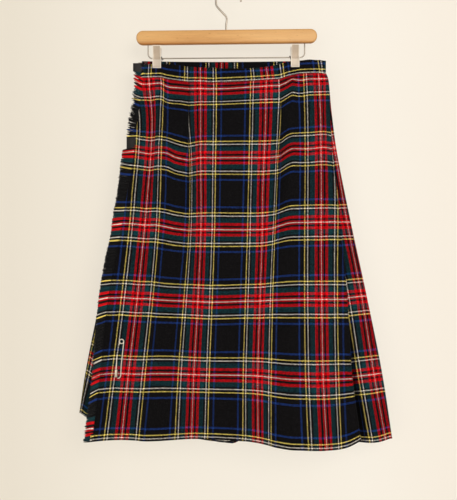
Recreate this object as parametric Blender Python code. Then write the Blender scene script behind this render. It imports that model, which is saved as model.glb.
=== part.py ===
"""A tartan kilt clipped by its waistband to a wooden skirt hanger.

One long length of cloth goes round the skirt: the flat over-apron in front, a side pleat and eleven
knife pleats round the back, a soft turn at the left and the flat under-apron behind the front.
A waistband, two buckled leather straps and a kilt pin finish it. The hanger is a wooden bar with a
wire hook, a wire rod and two sprung clips.

Frame: metres, +Z up, +Y towards the wall, +X to the right as seen from in front. The origin is the
inside of the hook's crown, where the hanger rests on a rail. Tables are in millimetres.

Across and height columns are read on the hanger's plane, along lines of sight from an eye that stands
EYE_DISTANCE in front of it at EYE_HEIGHT. `placed` slides each point along its line to its depth.
"""

from collections import namedtuple
from math import atan2, cos, pi, radians, sin, tau

import bmesh
import bpy
from mathutils import Matrix, Vector

MM = 0.001
EYE_DISTANCE = 1400.0
EYE_HEIGHT = -519.0

# Walls, and the gaps left where two pieces meet.
CLOTH = 1.0
BAND = 2.2
FRINGE = 1.6
LEATHER = 2.0
SEAM = 0.3
WAIST_SEAM = 0.45

# The pleats round the back, and the plain cloth left of the last one, as a share of a reveal. The
# other shares of a reveal say how far the cloth runs back under a fold.
PLEATS = 11
PLAIN_LEFT = 0.35
UNDERFOLD = 0.85
FIRST_UNDERFOLD = 0.55
SIDE_UNDERFOLD = 0.3

# The front of the cloth, one row for each level down the skirt. `run` is the distance down the cloth
# from the first white line. The columns are the woven edge's fringe tips, the woven edge, the four red
# stripes, the ridges under the two clips and the fold at the right.
Front = namedtuple("Front", "run tips edge red1 clip1 red2 red3 clip2 red4 fold")
FRONT_ACROSS = (
    Front(-13, -188, -171, -160, -134, -56, 76, 124, 180, 195),
    Front(0, -189, -173, -160, -135, -56, 76, 126, 180, 199),
    Front(72, -198, -183, -153, -135, -56, 73, 126, 184, 203),
    Front(145, -206, -190, -157, -135, -56, 71, 123, 183, 207),
    Front(290, -229, -214, -167, -139, -56, 68, 127, 185, 223),
    Front(435, -257, -240, -184, -155, -61, 62, 127, 188, 238),
    Front(580, -272, -256, -200, -165, -70, 58, 127, 189, 248),
    Front(702, -287, -271, -214, -175, -74, 58, 127, 196, 265),
)
FRONT_HEIGHT = (
    Front(-13, -173, -173, -174, -173, -183, -179, -167, -166, -166),
    Front(0, -187, -187, -186, -185, -196, -191, -180, -178, -177),
    Front(72, -257, -257, -256, -255, -264, -262, -248, -246, -245),
    Front(145, -323, -323, -327, -323, -334, -333, -318, -315, -315),
    Front(290, -468, -468, -469, -469, -478, -478, -464, -463, -463),
    Front(435, -617, -617, -618, -619, -622, -620, -618, -618, -618),
    Front(580, -769, -769, -767, -767, -768, -771, -779, -779, -776),
    Front(702, -903, -903, -901, -902, -897, -903, -918, -916, -903),
)
FRONT_DEPTH = (
    Front(-13, -2.0, -2.7, -2.7, -2.7, -17.5, -14, -2.7, -2.7, -2.2),
    Front(0, 0, -2, -6, -8, -21, -21, -8, -7, -3.5),
    Front(72, 0, -3, -14, -20, -34, -33, -20, -16, -5),
    Front(145, -4, -8, -22, -30, -44, -42, -32, -26, -10),
    Front(290, -16, -20, -32, -38, -48, -42, -42, -38, -20),
    Front(435, -28, -32, -40, -40, -42, -44, -48, -45, -28),
    Front(580, -37, -40, -46, -44, -42, -50, -52, -48, -34),
    Front(702, -41, -44, -50, -48, -44, -52, -56, -52, -38),
)
FRONT_STATIONS = Front(0, -0.25, 0, 0.5, 0.8, 2, 3.6, 4.2, 4.9, 5.1)
PANEL_STATIONS = (0, 0.25, 0.5, 0.65, 0.8, 1.2, 1.6, 2, 2.4, 2.8, 3.2, 3.6, 3.9, 4.2, 4.55, 4.9, 5.1)

# The right side at each level: how far apart the folded layers lie, how far the apron turns under at
# its fold, and the side pleat's outer fold, which is the skirt's right outline.
Right = namedtuple("Right", "layers turned_under across depth height")
RIGHT_SIDE = (
    Right(1.5, 20, 194.5, 1, -166),
    Right(1.6, 22, 198, 1.5, -177),
    Right(1.8, 24, 206, 3, -245),
    Right(2.2, 27, 217, 4, -315),
    Right(2.8, 31, 246, 4, -463),
    Right(3.4, 35, 276, 2, -611),
    Right(4, 39, 307, 0, -766),
    Right(4.5, 42, 327, -2, -896),
)

# The back at each level: how far it stands out at its sides and in the middle, and its heights.
Back = namedtuple("Back", "side middle right_height middle_height left_height")
BACK = (
    Back(5.5, 5.5, -166, -169, -173),
    Back(6.5, 7.5, -178, -183, -187),
    Back(9, 14, -247, -256, -259),
    Back(11.5, 20, -318, -330, -329),
    Back(14, 26, -466, -479, -471),
    Back(16, 30, -614, -628, -619),
    Back(18, 33, -769, -779, -751),
    Back(19, 35, -897, -906, -847),
)

# The left outline, where the back turns into the under-apron, and the under-apron behind the front.
Under = namedtuple(
    "Under", "left_across left_depth middle_depth right_depth right_across left_height right_height"
)
UNDER_APRON = (
    Under(-172, 0, 0, 0, 146, -173, -167),
    Under(-175, 0.5, -1, -1, 147, -187, -179),
    Under(-185, 1, -8, -5, 149, -259, -247),
    Under(-195, 0, -14, -10, 152, -328, -317),
    Under(-223, -6, -18, -12, 159, -469, -463),
    Under(-256, -14, -20, -12, 167, -617, -609),
    Under(-284, -18, -20, -12, 176, -754, -755),
    Under(-298, -20, -20, -12, 184, -845, -869),
)

# The waistband's upper edge, at the front stations and round the back and the under-apron.
BAND_TOP_FRONT = Front(0, -148, -148, -147, -147, -154, -153, -142, -138.5, -139)
BAND_TOP_BACK = (-140.5, -144, -142)
BAND_TOP_UNDER = (-141.5, -143, -141)
BAND_PINCHED = -2.7
BAND_SAG = 18.0

# Leather straps: the level of the middle, the strap's width, how far left it reaches, where it leaves
# the cloth, the surface its buckle sits on, its buckle's bar and the end of its tip.
Strap = namedtuple("Strap", "name height width leftmost starts turn_y seat bar_x tip_x chape")
UPPER_STRAP = Strap("upper", -154.5, 17, -192, (-171.4,), -2.7, 6.6, -166, -154, 12)
LOWER_STRAP = Strap("lower", -305.5, 26, -204, (-162, -171, -180, -188), -2.6, 19.0, -154, -116, 18)
BUCKLE_LENGTH = 15.0
BUCKLE_WIRE = 0.9
CHAPE = 1.2

BAR_LENGTH = 361.0
BAR_HEIGHT = 28.0
BAR_DEPTH = 12.0
BAR_CENTRE = (-3.6, -93.4)
BAR_END_RADIUS = 11.5
BAR_TILT = radians(0.66)
HOOK_WIRE = 3.8
HOOK_INSIDE = 23.1
HOOK_CENTRE = (0.0, -HOOK_INSIDE)
HOOK_RADIUS = HOOK_INSIDE + HOOK_WIRE / 2
HOOK_HOLE_DEPTH = 12.0
ROD_WIRE = 2.4
ROD_LEFT = -160.6
ROD_RIGHT = 152.2
ROD_LEVEL_LEFT = -136.2
ROD_LEVEL_RIGHT = -134.0
ROD_CORNER = 9.0
ROD_HOLE_DEPTH = 12.0
CLIP_WIDTH = 17.0
CLIP_PLACES = (("left", -143.0, -109.0, -156.5), ("right", 133.0, -107.8, -154.5))
CLIP_SHEET = 0.9
SPRING_RADIUS = 2.9
SPRING_WIRE = 1.2
SPRING_TURNS = 5
SPRING_PITCH = 3.9

# The kilt pin: its wire, its coil, the slots it passes through the cloth by and its clasp.
PIN_WIRE = 2.2
PIN_COIL = (-213.8, -701.8)
PIN_COIL_RADIUS = 4.0
PIN_COIL_TURNS = 14
PIN_SLOT_ROOM = 1.6
PIN_SLOT_REACH = 9.0
PIN_CLASP = (5.6, 3.4, 15.5)
PIN_CLASP_PLACE = (-224.9, -765.6)


def finish_for(name, colour, roughness, metallic=0.0):
    material = bpy.data.materials.new(name)
    material.use_nodes = True
    shader = material.node_tree.nodes["Principled BSDF"]
    shader.inputs["Base Color"].default_value = (*colour, 1.0)
    shader.inputs["Roughness"].default_value = roughness
    shader.inputs["Metallic"].default_value = metallic
    return material


def clear_scene():
    for obj in list(bpy.data.objects):
        bpy.data.objects.remove(obj, do_unlink=True)


def add_object(name, data, material):
    data.materials.append(material)
    obj = bpy.data.objects.new(name, data)
    bpy.context.scene.collection.objects.link(obj)
    return obj


def add_bmesh(name, shape, material, smooth_below=radians(40)):
    mesh = bpy.data.meshes.new(name)
    shape.to_mesh(mesh)
    shape.free()
    mesh.shade_smooth()
    mesh.set_sharp_from_angle(angle=smooth_below)
    return add_object(name, mesh, material)


def placed(across, depth, height, height_depth=None):
    """The place, in metres, of a point read on the hanger's plane that really lies at this depth.

    Layers sewn into one seam share their height, so they give the depth that it is read at.
    """
    share = (EYE_DISTANCE + depth) / EYE_DISTANCE
    height_share = share if height_depth is None else (EYE_DISTANCE + height_depth) / EYE_DISTANCE
    z = EYE_HEIGHT + (height - EYE_HEIGHT) * height_share
    return Vector((across * share, depth, z)) * MM


def smooth_value(stations, values, at):
    """A smooth curve through (station, value) pairs, read at one place."""
    last = len(stations) - 1
    secants = [(values[i + 1] - values[i]) / (stations[i + 1] - stations[i]) for i in range(last)]
    slopes = [secants[0]] + [(secants[i - 1] + secants[i]) / 2 for i in range(1, last)] + [secants[-1]]
    i = max(k for k in range(last) if k == 0 or stations[k] <= at)
    step = stations[i + 1] - stations[i]
    t = (at - stations[i]) / step
    rise = values[i + 1] - values[i]
    bend = (slopes[i] * step - rise) * (1 - t) + (rise - slopes[i + 1] * step) * t
    return values[i] + rise * t + bend * t * (1 - t)


def between(start, end, share):
    return start + (end - start) * share


def on_curve(three, share):
    """A curve through a start, a middle and an end value, at a share of the way along."""
    start, middle, end = three
    return start + (end - start) * share + (middle - (start + end) / 2) * 4 * share * (1 - share)


def front_point(level, station):
    """(across, depth, height) on the over-apron at one level, at a station across it."""
    columns = FRONT_STATIONS[2:]
    rows = (FRONT_ACROSS[level], FRONT_DEPTH[level], FRONT_HEIGHT[level])
    across, depth, height = (smooth_value(columns, row[2:], station) for row in rows)
    if level == 0:
        depth = seam_depth(across)
    return across, depth, height


def seam_depth(across):
    """The front of the waistband: flat where the clips pinch it, hanging forward between them."""
    left, right = FRONT_ACROSS[0].clip1, FRONT_ACROSS[0].clip2
    half = (right - left) / 2
    share = min(abs(across - (left + right) / 2) / half, 1)
    return BAND_PINCHED - BAND_SAG * (1 - share * share)


def cloth_sheet(name, rows, thickness, material, cut_out=()):
    """A wall of even thickness through a grid of points, row by row from the top.

    Cells named in cut_out, as (row, column), are left open right through the wall.
    """
    across = len(rows[0]) - 1
    down = len(rows) - 1
    shape = bmesh.new()
    bmesh.ops.create_grid(shape, x_segments=across, y_segments=down, size=1)
    for vert in shape.verts:
        column = round((vert.co.x + 1) / 2 * across)
        row = round((1 - vert.co.y) / 2 * down)
        vert.co = rows[row][column]
    for row, column in cut_out:
        corners = [rows[row + i][column + k] for i in (0, 1) for k in (0, 1)]
        middle = sum(corners, Vector()) / 4
        hole = min(shape.faces, key=lambda face: (face.calc_center_median() - middle).length)
        bmesh.ops.delete(shape, geom=[hole], context="FACES")
    obj = add_bmesh(name, shape, material)
    wall = obj.modifiers.new("wall", "SOLIDIFY")
    wall.thickness = thickness * MM
    wall.offset = 0
    wall.use_even_offset = True
    wall.use_quality_normals = True
    return obj


def wire(name, points, diameter, material, rounding=2):
    """A round wire with flat ends along points given in millimetres."""
    curve = bpy.data.curves.new(name, "CURVE")
    curve.dimensions = "3D"
    curve.bevel_depth = diameter / 2 * MM
    curve.bevel_resolution = rounding
    curve.use_fill_caps = True
    spline = curve.splines.new("POLY")
    spline.points.add(len(points) - 1)
    for knot, point in zip(spline.points, points):
        knot.co = (*(Vector(point) * MM), 1.0)
    return add_object(name, curve, material)


def arc(centre, radius, start, end, steps):
    """Points in a plane on an arc, angles in degrees, both ends included."""
    turns = [radians(between(start, end, i / steps)) for i in range(steps + 1)]
    return [(centre[0] + radius * cos(a), centre[1] + radius * sin(a)) for a in turns]


# ---- The cloth ----------------------------------------------------------------------------------


def blunt_fold(tip, towards, near, far, length):
    """The four points of a pressed fold in plan: its tip, which way the cloth lies from it (+1 or -1),
    the depths of the two layers it joins and how far back its rounding starts."""
    inset = (far - near) * 0.2
    blunt = length * 0.15
    return [
        (tip + towards * length, near),
        (tip + towards * blunt, near + inset),
        (tip + towards * blunt, far - inset),
        (tip + towards * length, far),
    ]


def over_apron_row(level):
    """The flat apron from its woven edge to its fold, and the part turned under."""
    right = RIGHT_SIDE[level]
    points = [front_point(level, station) for station in PANEL_STATIONS]
    fold_x, fold_depth, fold_height = points.pop()
    layers = right.layers
    hairpin = blunt_fold(fold_x, -1, fold_depth, fold_depth + layers, layers)
    hairpin.append((fold_x - right.turned_under * 0.75, fold_depth + layers))
    points += [(x, y, fold_height) for x, y in hairpin]
    return [placed(x, y, z, min(y, BAND_PINCHED) if level == 0 else None) for x, y, z in points]


def back_span(level):
    """Where the first back reveal starts, the width of a reveal and the left outline."""
    right = RIGHT_SIDE[level]
    start = right.across - right.layers
    left = UNDER_APRON[level].left_across
    return start, (start - left) / (PLEATS + PLAIN_LEFT), left


def back_share(level, across):
    start, _, left = back_span(level)
    return min(max((start - across) / (start - left), 0), 1)


def back_depth(level, across):
    back = BACK[level]
    return on_curve((back.side, back.middle, back.side), back_share(level, across))


def back_height(level, across):
    """Straight along the seam, and lower down a curve through the back's three heights."""
    back = BACK[level]
    heights = (back.right_height, back.middle_height, back.left_height)
    return smooth_value((0, 0.5, 1), heights, back_share(level, across))


def turned_back(level, number):
    """How far a pleat's cloth runs back under its fold: less on the first, beside the side pleat."""
    return back_span(level)[1] * (FIRST_UNDERFOLD if number == 1 else UNDERFOLD)


def shingle_depth(level, number, across, lower):
    """The depth in a pleat: its reveal climbs by two layers to its fold, with two layers below it."""
    start, reveal, _ = back_span(level)
    layers = RIGHT_SIDE[level].layers
    climb = 2 * layers * (1 - (across - (start - number * reveal)) / reveal)
    return back_depth(level, across) + climb - lower * layers


def hidden_end(level, number, gap):
    """(across, depth) halfway along a pleat's lowest layer, where one stretch of cloth meets the next."""
    start, reveal, _ = back_span(level)
    x = start - number * reveal + turned_back(level, number) / 2 - gap
    return x, shingle_depth(level, number, x, 2)


def pleat_row(level, number):
    """One knife pleat in plan: from under the fold before it, out to its own fold and back under it.

    The reveal rises by two layers to its fold, so three layers lie on each other like shingles.
    """
    start, reveal, _ = back_span(level)
    layers = RIGHT_SIDE[level].layers
    begin = start - (number - 1) * reveal
    fold = begin - reveal
    under = turned_back(level, number)

    def raised(across, lower):
        return (across, shingle_depth(level, number, across, lower))

    rounding = layers
    outer = blunt_fold(fold, 1, raised(fold + rounding, 0)[1], raised(fold + rounding, 1)[1], rounding)
    inner_x = fold + under
    near, far = (raised(inner_x - rounding, lower)[1] for lower in (1, 2))
    inner = blunt_fold(inner_x, -1, near, far, rounding)
    points = [raised(begin - reveal * share, 0) for share in (0.02, 0.35, 0.7)]
    points += outer
    points.append(raised(fold + under * 0.5, 1))
    points += inner
    points.append(hidden_end(level, number, 0))
    return points


def back_placed(level, across, depth):
    """A point of the back in place; along the waist seam every layer has the band's height."""
    return placed(across, depth, back_height(level, across), BACK[0].side if level == 0 else None)


def back_rows(first, last):
    """The levels of a stretch of pleats, which starts and ends under a fold, where a seam can hide."""
    rows = []
    for level in range(len(BACK)):
        plan = [hidden_end(level, first - 1, 2 * SEAM)]
        for number in range(first, last + 1):
            plan += pleat_row(level, number)
        rows.append([back_placed(level, x, y) for x, y in plan])
    return rows


def side_pleat_row(level):
    """From under the apron out to the right outline, back under, and round to the first back pleat."""
    right = RIGHT_SIDE[level]
    layers = right.layers
    fold_x, fold_depth, fold_height = front_point(level, PANEL_STATIONS[-1])
    start, reveal, _ = back_span(level)
    inner_x = fold_x - right.turned_under
    under = reveal * SIDE_UNDERFOLD
    first = fold_depth + layers
    plan = [(fold_x - right.turned_under * 0.75 - SEAM * 2, first, 0)]
    plan += [(x, y, 0) for x, y in blunt_fold(inner_x, 1, first, first + layers, layers)]
    begin = plan[-1]
    outer_x = right.across

    def panel(share):
        bulge = sin(share * pi) * 0.12 * (right.depth - begin[1])
        depth = between(begin[1], right.depth, share) - bulge
        return between(begin[0], outer_x - layers, share), depth, share

    plan += [panel(share) for share in (0.35, 0.65, 0.9)]
    plan += [(x, y, 1) for x, y in blunt_fold(outer_x, -1, right.depth, right.depth + layers, layers)]
    lean = (right.depth - begin[1]) / max(outer_x - begin[0], 40)
    inner = outer_x - under
    drop = lean * (under - layers) * 0.9
    plan += [
        (x, y, 1)
        for x, y in blunt_fold(inner, 1, right.depth + layers - drop, right.depth + 2 * layers - drop, layers)
    ]
    turn_depth = right.depth + 2 * layers
    back_start = back_depth(level, start)
    reach = (back_start - turn_depth) / 2
    middle = (turn_depth + back_start) / 2
    edge = start - max(reach - layers, 0)
    plan += [(edge + x, middle + y, 1) for x, y in arc((0, 0), reach, -90, 90, 5)]
    seam = BAND_PINCHED if level == 0 else None
    points = [placed(x, y, between(fold_height, right.height, share), seam) for x, y, share in plan]
    return points + [back_placed(level, x, y) for x, y in pleat_row(level, 1)[1:]]


def under_apron_row(level):
    """From under the last pleat's fold, round the soft left turn, and across behind the front."""
    _, reveal, left = back_span(level)
    under = UNDER_APRON[level]
    last_fold = left + PLAIN_LEFT * reveal
    plan = [(*hidden_end(level, PLEATS, 2 * SEAM), under.left_height)]
    back_y = back_depth(level, last_fold)
    plan.append((last_fold, back_y, under.left_height))
    half = (back_y - under.left_depth) / 2
    plan += [
        (left + half * 0.9 - half * 0.9 * sin(a), under.left_depth + half + half * cos(a), under.left_height)
        for a in (pi * i / 6 for i in range(7))
    ]
    inside = left + half
    depths = (under.left_depth, under.middle_depth, under.right_depth)
    for step in range(1, 9):
        share = step / 8
        x = between(inside, under.right_across, share)
        height = between(under.left_height, under.right_height, share)
        plan.append((x, smooth_value((0, 0.45, 1), depths, share), height))
    return [placed(x, y, z, 0 if level == 0 else None) for x, y, z in plan]


def waistband_path():
    """Stations round the band as (across, depth, lower edge, upper edge)."""
    columns = FRONT_STATIONS[2:]
    front = [front_point(0, station) for station in PANEL_STATIONS[:-1]]
    tops = [smooth_value(columns, BAND_TOP_FRONT[2:], station) for station in PANEL_STATIONS[:-1]]
    path = [(x, y, z + WAIST_SEAM, top) for (x, y, z), top in zip(front, tops)]
    back = BACK[0]
    reach = (back.side - BAND_PINCHED) / 2
    turn = arc((FRONT_ACROSS[0].fold + 1.0 - reach, BAND_PINCHED + reach), reach, -80, 90, 8)
    path += [(x, y, back.right_height + WAIST_SEAM, BAND_TOP_BACK[0]) for x, y in turn]
    right_end = turn[-1][0]
    left_end = UNDER_APRON[0].left_across + back.side / 2
    for step in range(1, 7):
        x = between(right_end, left_end, step / 6)
        path.append((x, back.side, back_height(0, x) + WAIST_SEAM, on_curve(BAND_TOP_BACK, step / 6)))
    left_turn = arc((left_end, back.side / 2), back.side / 2, 90, 270, 8)
    path += [(x, y, back.left_height + WAIST_SEAM, BAND_TOP_UNDER[0]) for x, y in left_turn[1:]]
    under = UNDER_APRON[0]
    for step in range(1, 7):
        share = step / 6
        x = between(left_end, under.right_across, share)
        low = between(under.left_height, under.right_height, share) + WAIST_SEAM
        path.append((x, 0.0, low, on_curve(BAND_TOP_UNDER, share)))
    return path


def add_cloth(tartan, band_cloth, fringe_yarn):
    levels = range(len(BACK))
    cloth_sheet("side_pleat", [side_pleat_row(level) for level in levels], CLOTH, tartan)
    for name, first, last in (("right", 2, 4), ("middle", 5, 8), ("left", 9, PLEATS)):
        cloth_sheet(f"back_pleats_{name}", back_rows(first, last), CLOTH, tartan)
    cloth_sheet("under_apron", [under_apron_row(level) for level in levels], CLOTH, tartan)
    path = waistband_path()
    band = [[placed(x, y, between(top, low, share)) for x, y, low, top in path] for share in (0, 0.5, 1)]
    cloth_sheet("waistband", band, BAND, band_cloth)
    apron = cloth_sheet("over_apron", [over_apron_row(level) for level in levels], CLOTH, tartan)
    add_fringe(fringe_yarn)
    return apron


def fringe_row(run):
    """The fringe at one distance down the cloth, from its tips in to just clear of the woven edge."""
    runs = [row.run for row in FRONT_ACROSS]
    level = max(i for i in range(len(runs) - 1) if runs[i] <= run or i == 0)
    share = (run - runs[level]) / (runs[level + 1] - runs[level])
    tables = (FRONT_ACROSS, FRONT_DEPTH, FRONT_HEIGHT)
    tips = [between(table[level].tips, table[level + 1].tips, share) for table in tables]
    edge = [between(table[level].edge, table[level + 1].edge, share) for table in tables]
    edge[0] -= 2 * SEAM
    middle = [between(a, b, 0.5) for a, b in zip(tips, edge)]
    return [placed(*point) for point in (tips, middle, edge)]


def add_fringe(yarn):
    """A plain strip where the loose threads hang, parted where the lower strap comes through."""
    above = (-13, 0, 36, 72, 98)
    below = (131, 145, 217, 290, 362, 435, 508, 580, 641, 702)
    cloth_sheet("fringe_upper", [fringe_row(run) for run in above], FRINGE, yarn)
    cloth_sheet("fringe_lower", [fringe_row(run) for run in below], FRINGE, yarn)


# ---- Straps and pin -----------------------------------------------------------------------------


def strap_plan(strap):
    """The strap's middle in plan, with the place of the hole that its prong goes through.

    A depth of None follows the inside of the over-apron.
    """
    run_back = strap.seat + SEAM + LEATHER / 2
    bar = strap.bar_x
    over_chape = strap.seat + 2 * CHAPE + 2 * BUCKLE_WIRE + 4 * SEAM + LEATHER / 2 + 0.2
    radius = (run_back - strap.turn_y) / 2
    centre = (strap.leftmost + radius, strap.turn_y + radius)
    plan = [(x, strap.turn_y if len(strap.starts) == 1 else None) for x in strap.starts]
    plan += arc(centre, radius, 270, 90, 10)
    hole = len(plan) + 1
    plan += [
        (bar - BUCKLE_LENGTH + 1.5, run_back),
        (bar - 11.2, between(run_back, over_chape, 0.18)),
        (bar - 4.9, between(run_back, over_chape, 0.72)),
        (bar - 1.5, over_chape),
        (bar + 4.0, over_chape),
        (strap.tip_x - 3.0, over_chape),
        (strap.tip_x, over_chape),
    ]
    return plan, hole


def add_strap(strap, leather, metal):
    plan, hole = strap_plan(strap)
    half = strap.width / 2
    behind = CLOTH / 2 + 2 * SEAM + LEATHER / 2
    rows = []
    for offset in (half, 1.6, -1.6, -half):
        row = []
        for number, (x, y) in enumerate(plan):
            at_tip = number == len(plan) - 1 and abs(offset) == half
            height = strap.height + offset * (0.55 if at_tip else 1)
            row.append(placed(x, apron_depth_at(x, height) + behind if y is None else y, height))
        rows.append(row)
    cloth_sheet(f"strap_{strap.name}", rows, LEATHER, leather, cut_out=((1, hole),))
    add_buckle(strap, leather, metal)


def add_buckle(strap, leather, metal):
    """A wire frame and prong on the strap, held by a folded leather chape round the frame's bar."""
    clear = BUCKLE_WIRE + SEAM + CHAPE / 2
    bar_y = strap.seat + SEAM + CHAPE / 2 + clear
    end = strap.bar_x + strap.chape
    plan = [(end, bar_y - clear), (strap.bar_x + 5, bar_y - clear)]
    plan += arc((strap.bar_x, bar_y), clear, 270, 90, 8)
    plan += [(strap.bar_x + 5, bar_y + clear), (end, bar_y + clear)]
    chape_half = strap.width / 2 - 1.5
    chape = [[placed(x, y, strap.height + z) for x, y in plan] for z in (chape_half, 0, -chape_half)]
    cloth_sheet(f"chape_{strap.name}", chape, CHAPE, leather)
    frame_half = strap.width / 2 + 2.0
    outer_y = strap.seat + SEAM * 2 + LEATHER + BUCKLE_WIRE
    outer_x = strap.bar_x - BUCKLE_LENGTH
    corner = 1.5
    loop = []
    for centre_x, centre_z, start in (
        (strap.bar_x - corner, frame_half - corner, 90),
        (strap.bar_x - corner, -frame_half + corner, 0),
        (outer_x + corner, -frame_half + corner, -90),
        (outer_x + corner, frame_half - corner, -180),
    ):
        for x, z in arc((centre_x, centre_z), corner, start, start - 90, 3):
            lean = (strap.bar_x - x) / BUCKLE_LENGTH
            loop.append((x, between(bar_y, outer_y, lean), z))
    points = [placed(x, y, strap.height + z) / MM for x, y, z in loop]
    frame = wire(f"buckle_{strap.name}", points, BUCKLE_WIRE * 2, metal)
    frame.data.splines[0].use_cyclic_u = True
    prong_root = (strap.bar_x - clear - CHAPE / 2 - 0.9, bar_y)
    prong_rest = (outer_x - 1.2, outer_y + BUCKLE_WIRE + SEAM + 0.7)
    prong = [placed(x, y, strap.height) / MM for x, y in (prong_root, prong_rest)]
    wire(f"prong_{strap.name}", prong, 1.2, metal, rounding=1)


def apron_depth_at(across, height):
    """The depth of the over-apron's middle surface between its rows, at a place seen from in front."""
    level = max(i for i in range(len(FRONT_HEIGHT) - 1) if FRONT_HEIGHT[i].red1 >= height)
    upper, lower = FRONT_HEIGHT[level].red1, FRONT_HEIGHT[level + 1].red1
    share = (upper - height) / (upper - lower)
    points = [
        [between(a, b, share) for a, b in zip(front_point(level, station), front_point(level + 1, station))]
        for station in PANEL_STATIONS[:-1]
    ]
    left = max(i for i in range(len(points) - 1) if i == 0 or points[i][0] <= across)
    a, b = points[left], points[left + 1]
    return between(a[1], b[1], (across - a[0]) / (b[0] - a[0]))


def pin_route():
    """The kilt pin's wire as (across, height, distance in front of the cloth's middle).

    It leaves the clasp, runs up in front, dips behind the cloth, comes out again at the coil, and
    returns down its other arm to the clasp's lower end.
    """
    front = CLOTH / 2 + SEAM + PIN_WIRE / 2 + 0.2
    behind = -front
    coil_x, coil_z = PIN_COIL
    lift = PIN_WIRE + SEAM
    route = [
        (-224.3, -757.2, front),
        (-223.6, -739.0, front),
        (-223.2, -732.0, front),
        (-222.0, -725.5, behind),
        (-219.5, -718.0, behind),
        (-218.6, -711.5, front),
    ]
    for step in range(PIN_COIL_TURNS + 1):
        share = step / PIN_COIL_TURNS
        angle = radians(between(200, -240, share))
        depth = between(front, front + lift, share)
        route.append((coil_x + PIN_COIL_RADIUS * cos(angle), coil_z + PIN_COIL_RADIUS * sin(angle), depth))
    last = front + lift
    route += [
        (-210.6, -707.5, last),
        (-212.4, -724.0, last - 1.0),
        (-214.6, -749.0, front + 0.4),
        (-215.4, -767.0, front),
        (-216.6, -772.5, front),
        (-219.2, -775.6, front),
        (-221.4, -775.4, front),
    ]
    return route


def add_kilt_pin(apron, metal):
    route = [(x, apron_depth_at(x, z) - ahead, z) for x, z, ahead in pin_route()]
    wire("kilt_pin", [placed(*point) / MM for point in route], PIN_WIRE, metal)
    for start, end in ((2, 3), (4, 5)):
        a, b = placed(*route[start]), placed(*route[end])
        slot = bmesh.new()
        bmesh.ops.create_cube(slot, size=1)
        size = (PIN_WIRE + PIN_SLOT_ROOM, PIN_SLOT_REACH, (b - a).length / MM + 2 * PIN_SLOT_ROOM)
        bmesh.ops.scale(slot, vec=Vector(size) * MM, verts=slot.verts)
        lean = Matrix.Rotation(atan2((b - a).x, (b - a).z), 4, "Y")
        bmesh.ops.transform(slot, matrix=Matrix.Translation((a + b) / 2) @ lean, verts=slot.verts)
        cutter = add_bmesh(f"pin_slot_{start}", slot, metal)
        cutter.hide_render = True
        cutter.display_type = "WIRE"
        cut = apron.modifiers.new(f"pin_slot_{start}", "BOOLEAN")
        cut.object = cutter
        cut.operation = "DIFFERENCE"
    clasp = bmesh.new()
    bmesh.ops.create_cube(clasp, size=1)
    bmesh.ops.scale(clasp, vec=Vector(PIN_CLASP) * MM, verts=clasp.verts)
    bmesh.ops.bevel(
        clasp, geom=clasp.edges[:], offset=1.0 * MM, segments=2, profile=0.5, affect="EDGES", material=-1
    )
    x, z = PIN_CLASP_PLACE
    depth = apron_depth_at(x, z) - CLOTH / 2 - 2 * SEAM - PIN_CLASP[1] / 2
    bmesh.ops.translate(clasp, vec=placed(x, depth, z), verts=clasp.verts)
    add_bmesh("kilt_pin_clasp", clasp, metal)


# ---- The hanger ---------------------------------------------------------------------------------


def on_bar(across, height):
    """A point of the tilted bar, from its own middle, in millimetres."""
    x = BAR_CENTRE[0] + across * cos(BAR_TILT) - height * sin(BAR_TILT)
    z = BAR_CENTRE[1] + across * sin(BAR_TILT) + height * cos(BAR_TILT)
    return x, z


def drill(target, name, diameter, low, high, material):
    """A round hole through the target between two places in millimetres."""
    low, high = Vector(low) * MM, Vector(high) * MM
    drilled = bmesh.new()
    bmesh.ops.create_cone(
        drilled,
        cap_ends=True,
        segments=16,
        radius1=diameter / 2 * MM,
        radius2=diameter / 2 * MM,
        depth=(high - low).length,
    )
    turn = (high - low).to_track_quat("Z", "Y").to_matrix().to_4x4()
    bmesh.ops.transform(drilled, matrix=Matrix.Translation((low + high) / 2) @ turn, verts=drilled.verts)
    cutter = add_bmesh(name, drilled, material)
    cutter.hide_render = True
    cutter.display_type = "WIRE"
    cut = target.modifiers.new(name, "BOOLEAN")
    cut.object = cutter
    cut.operation = "DIFFERENCE"


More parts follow.
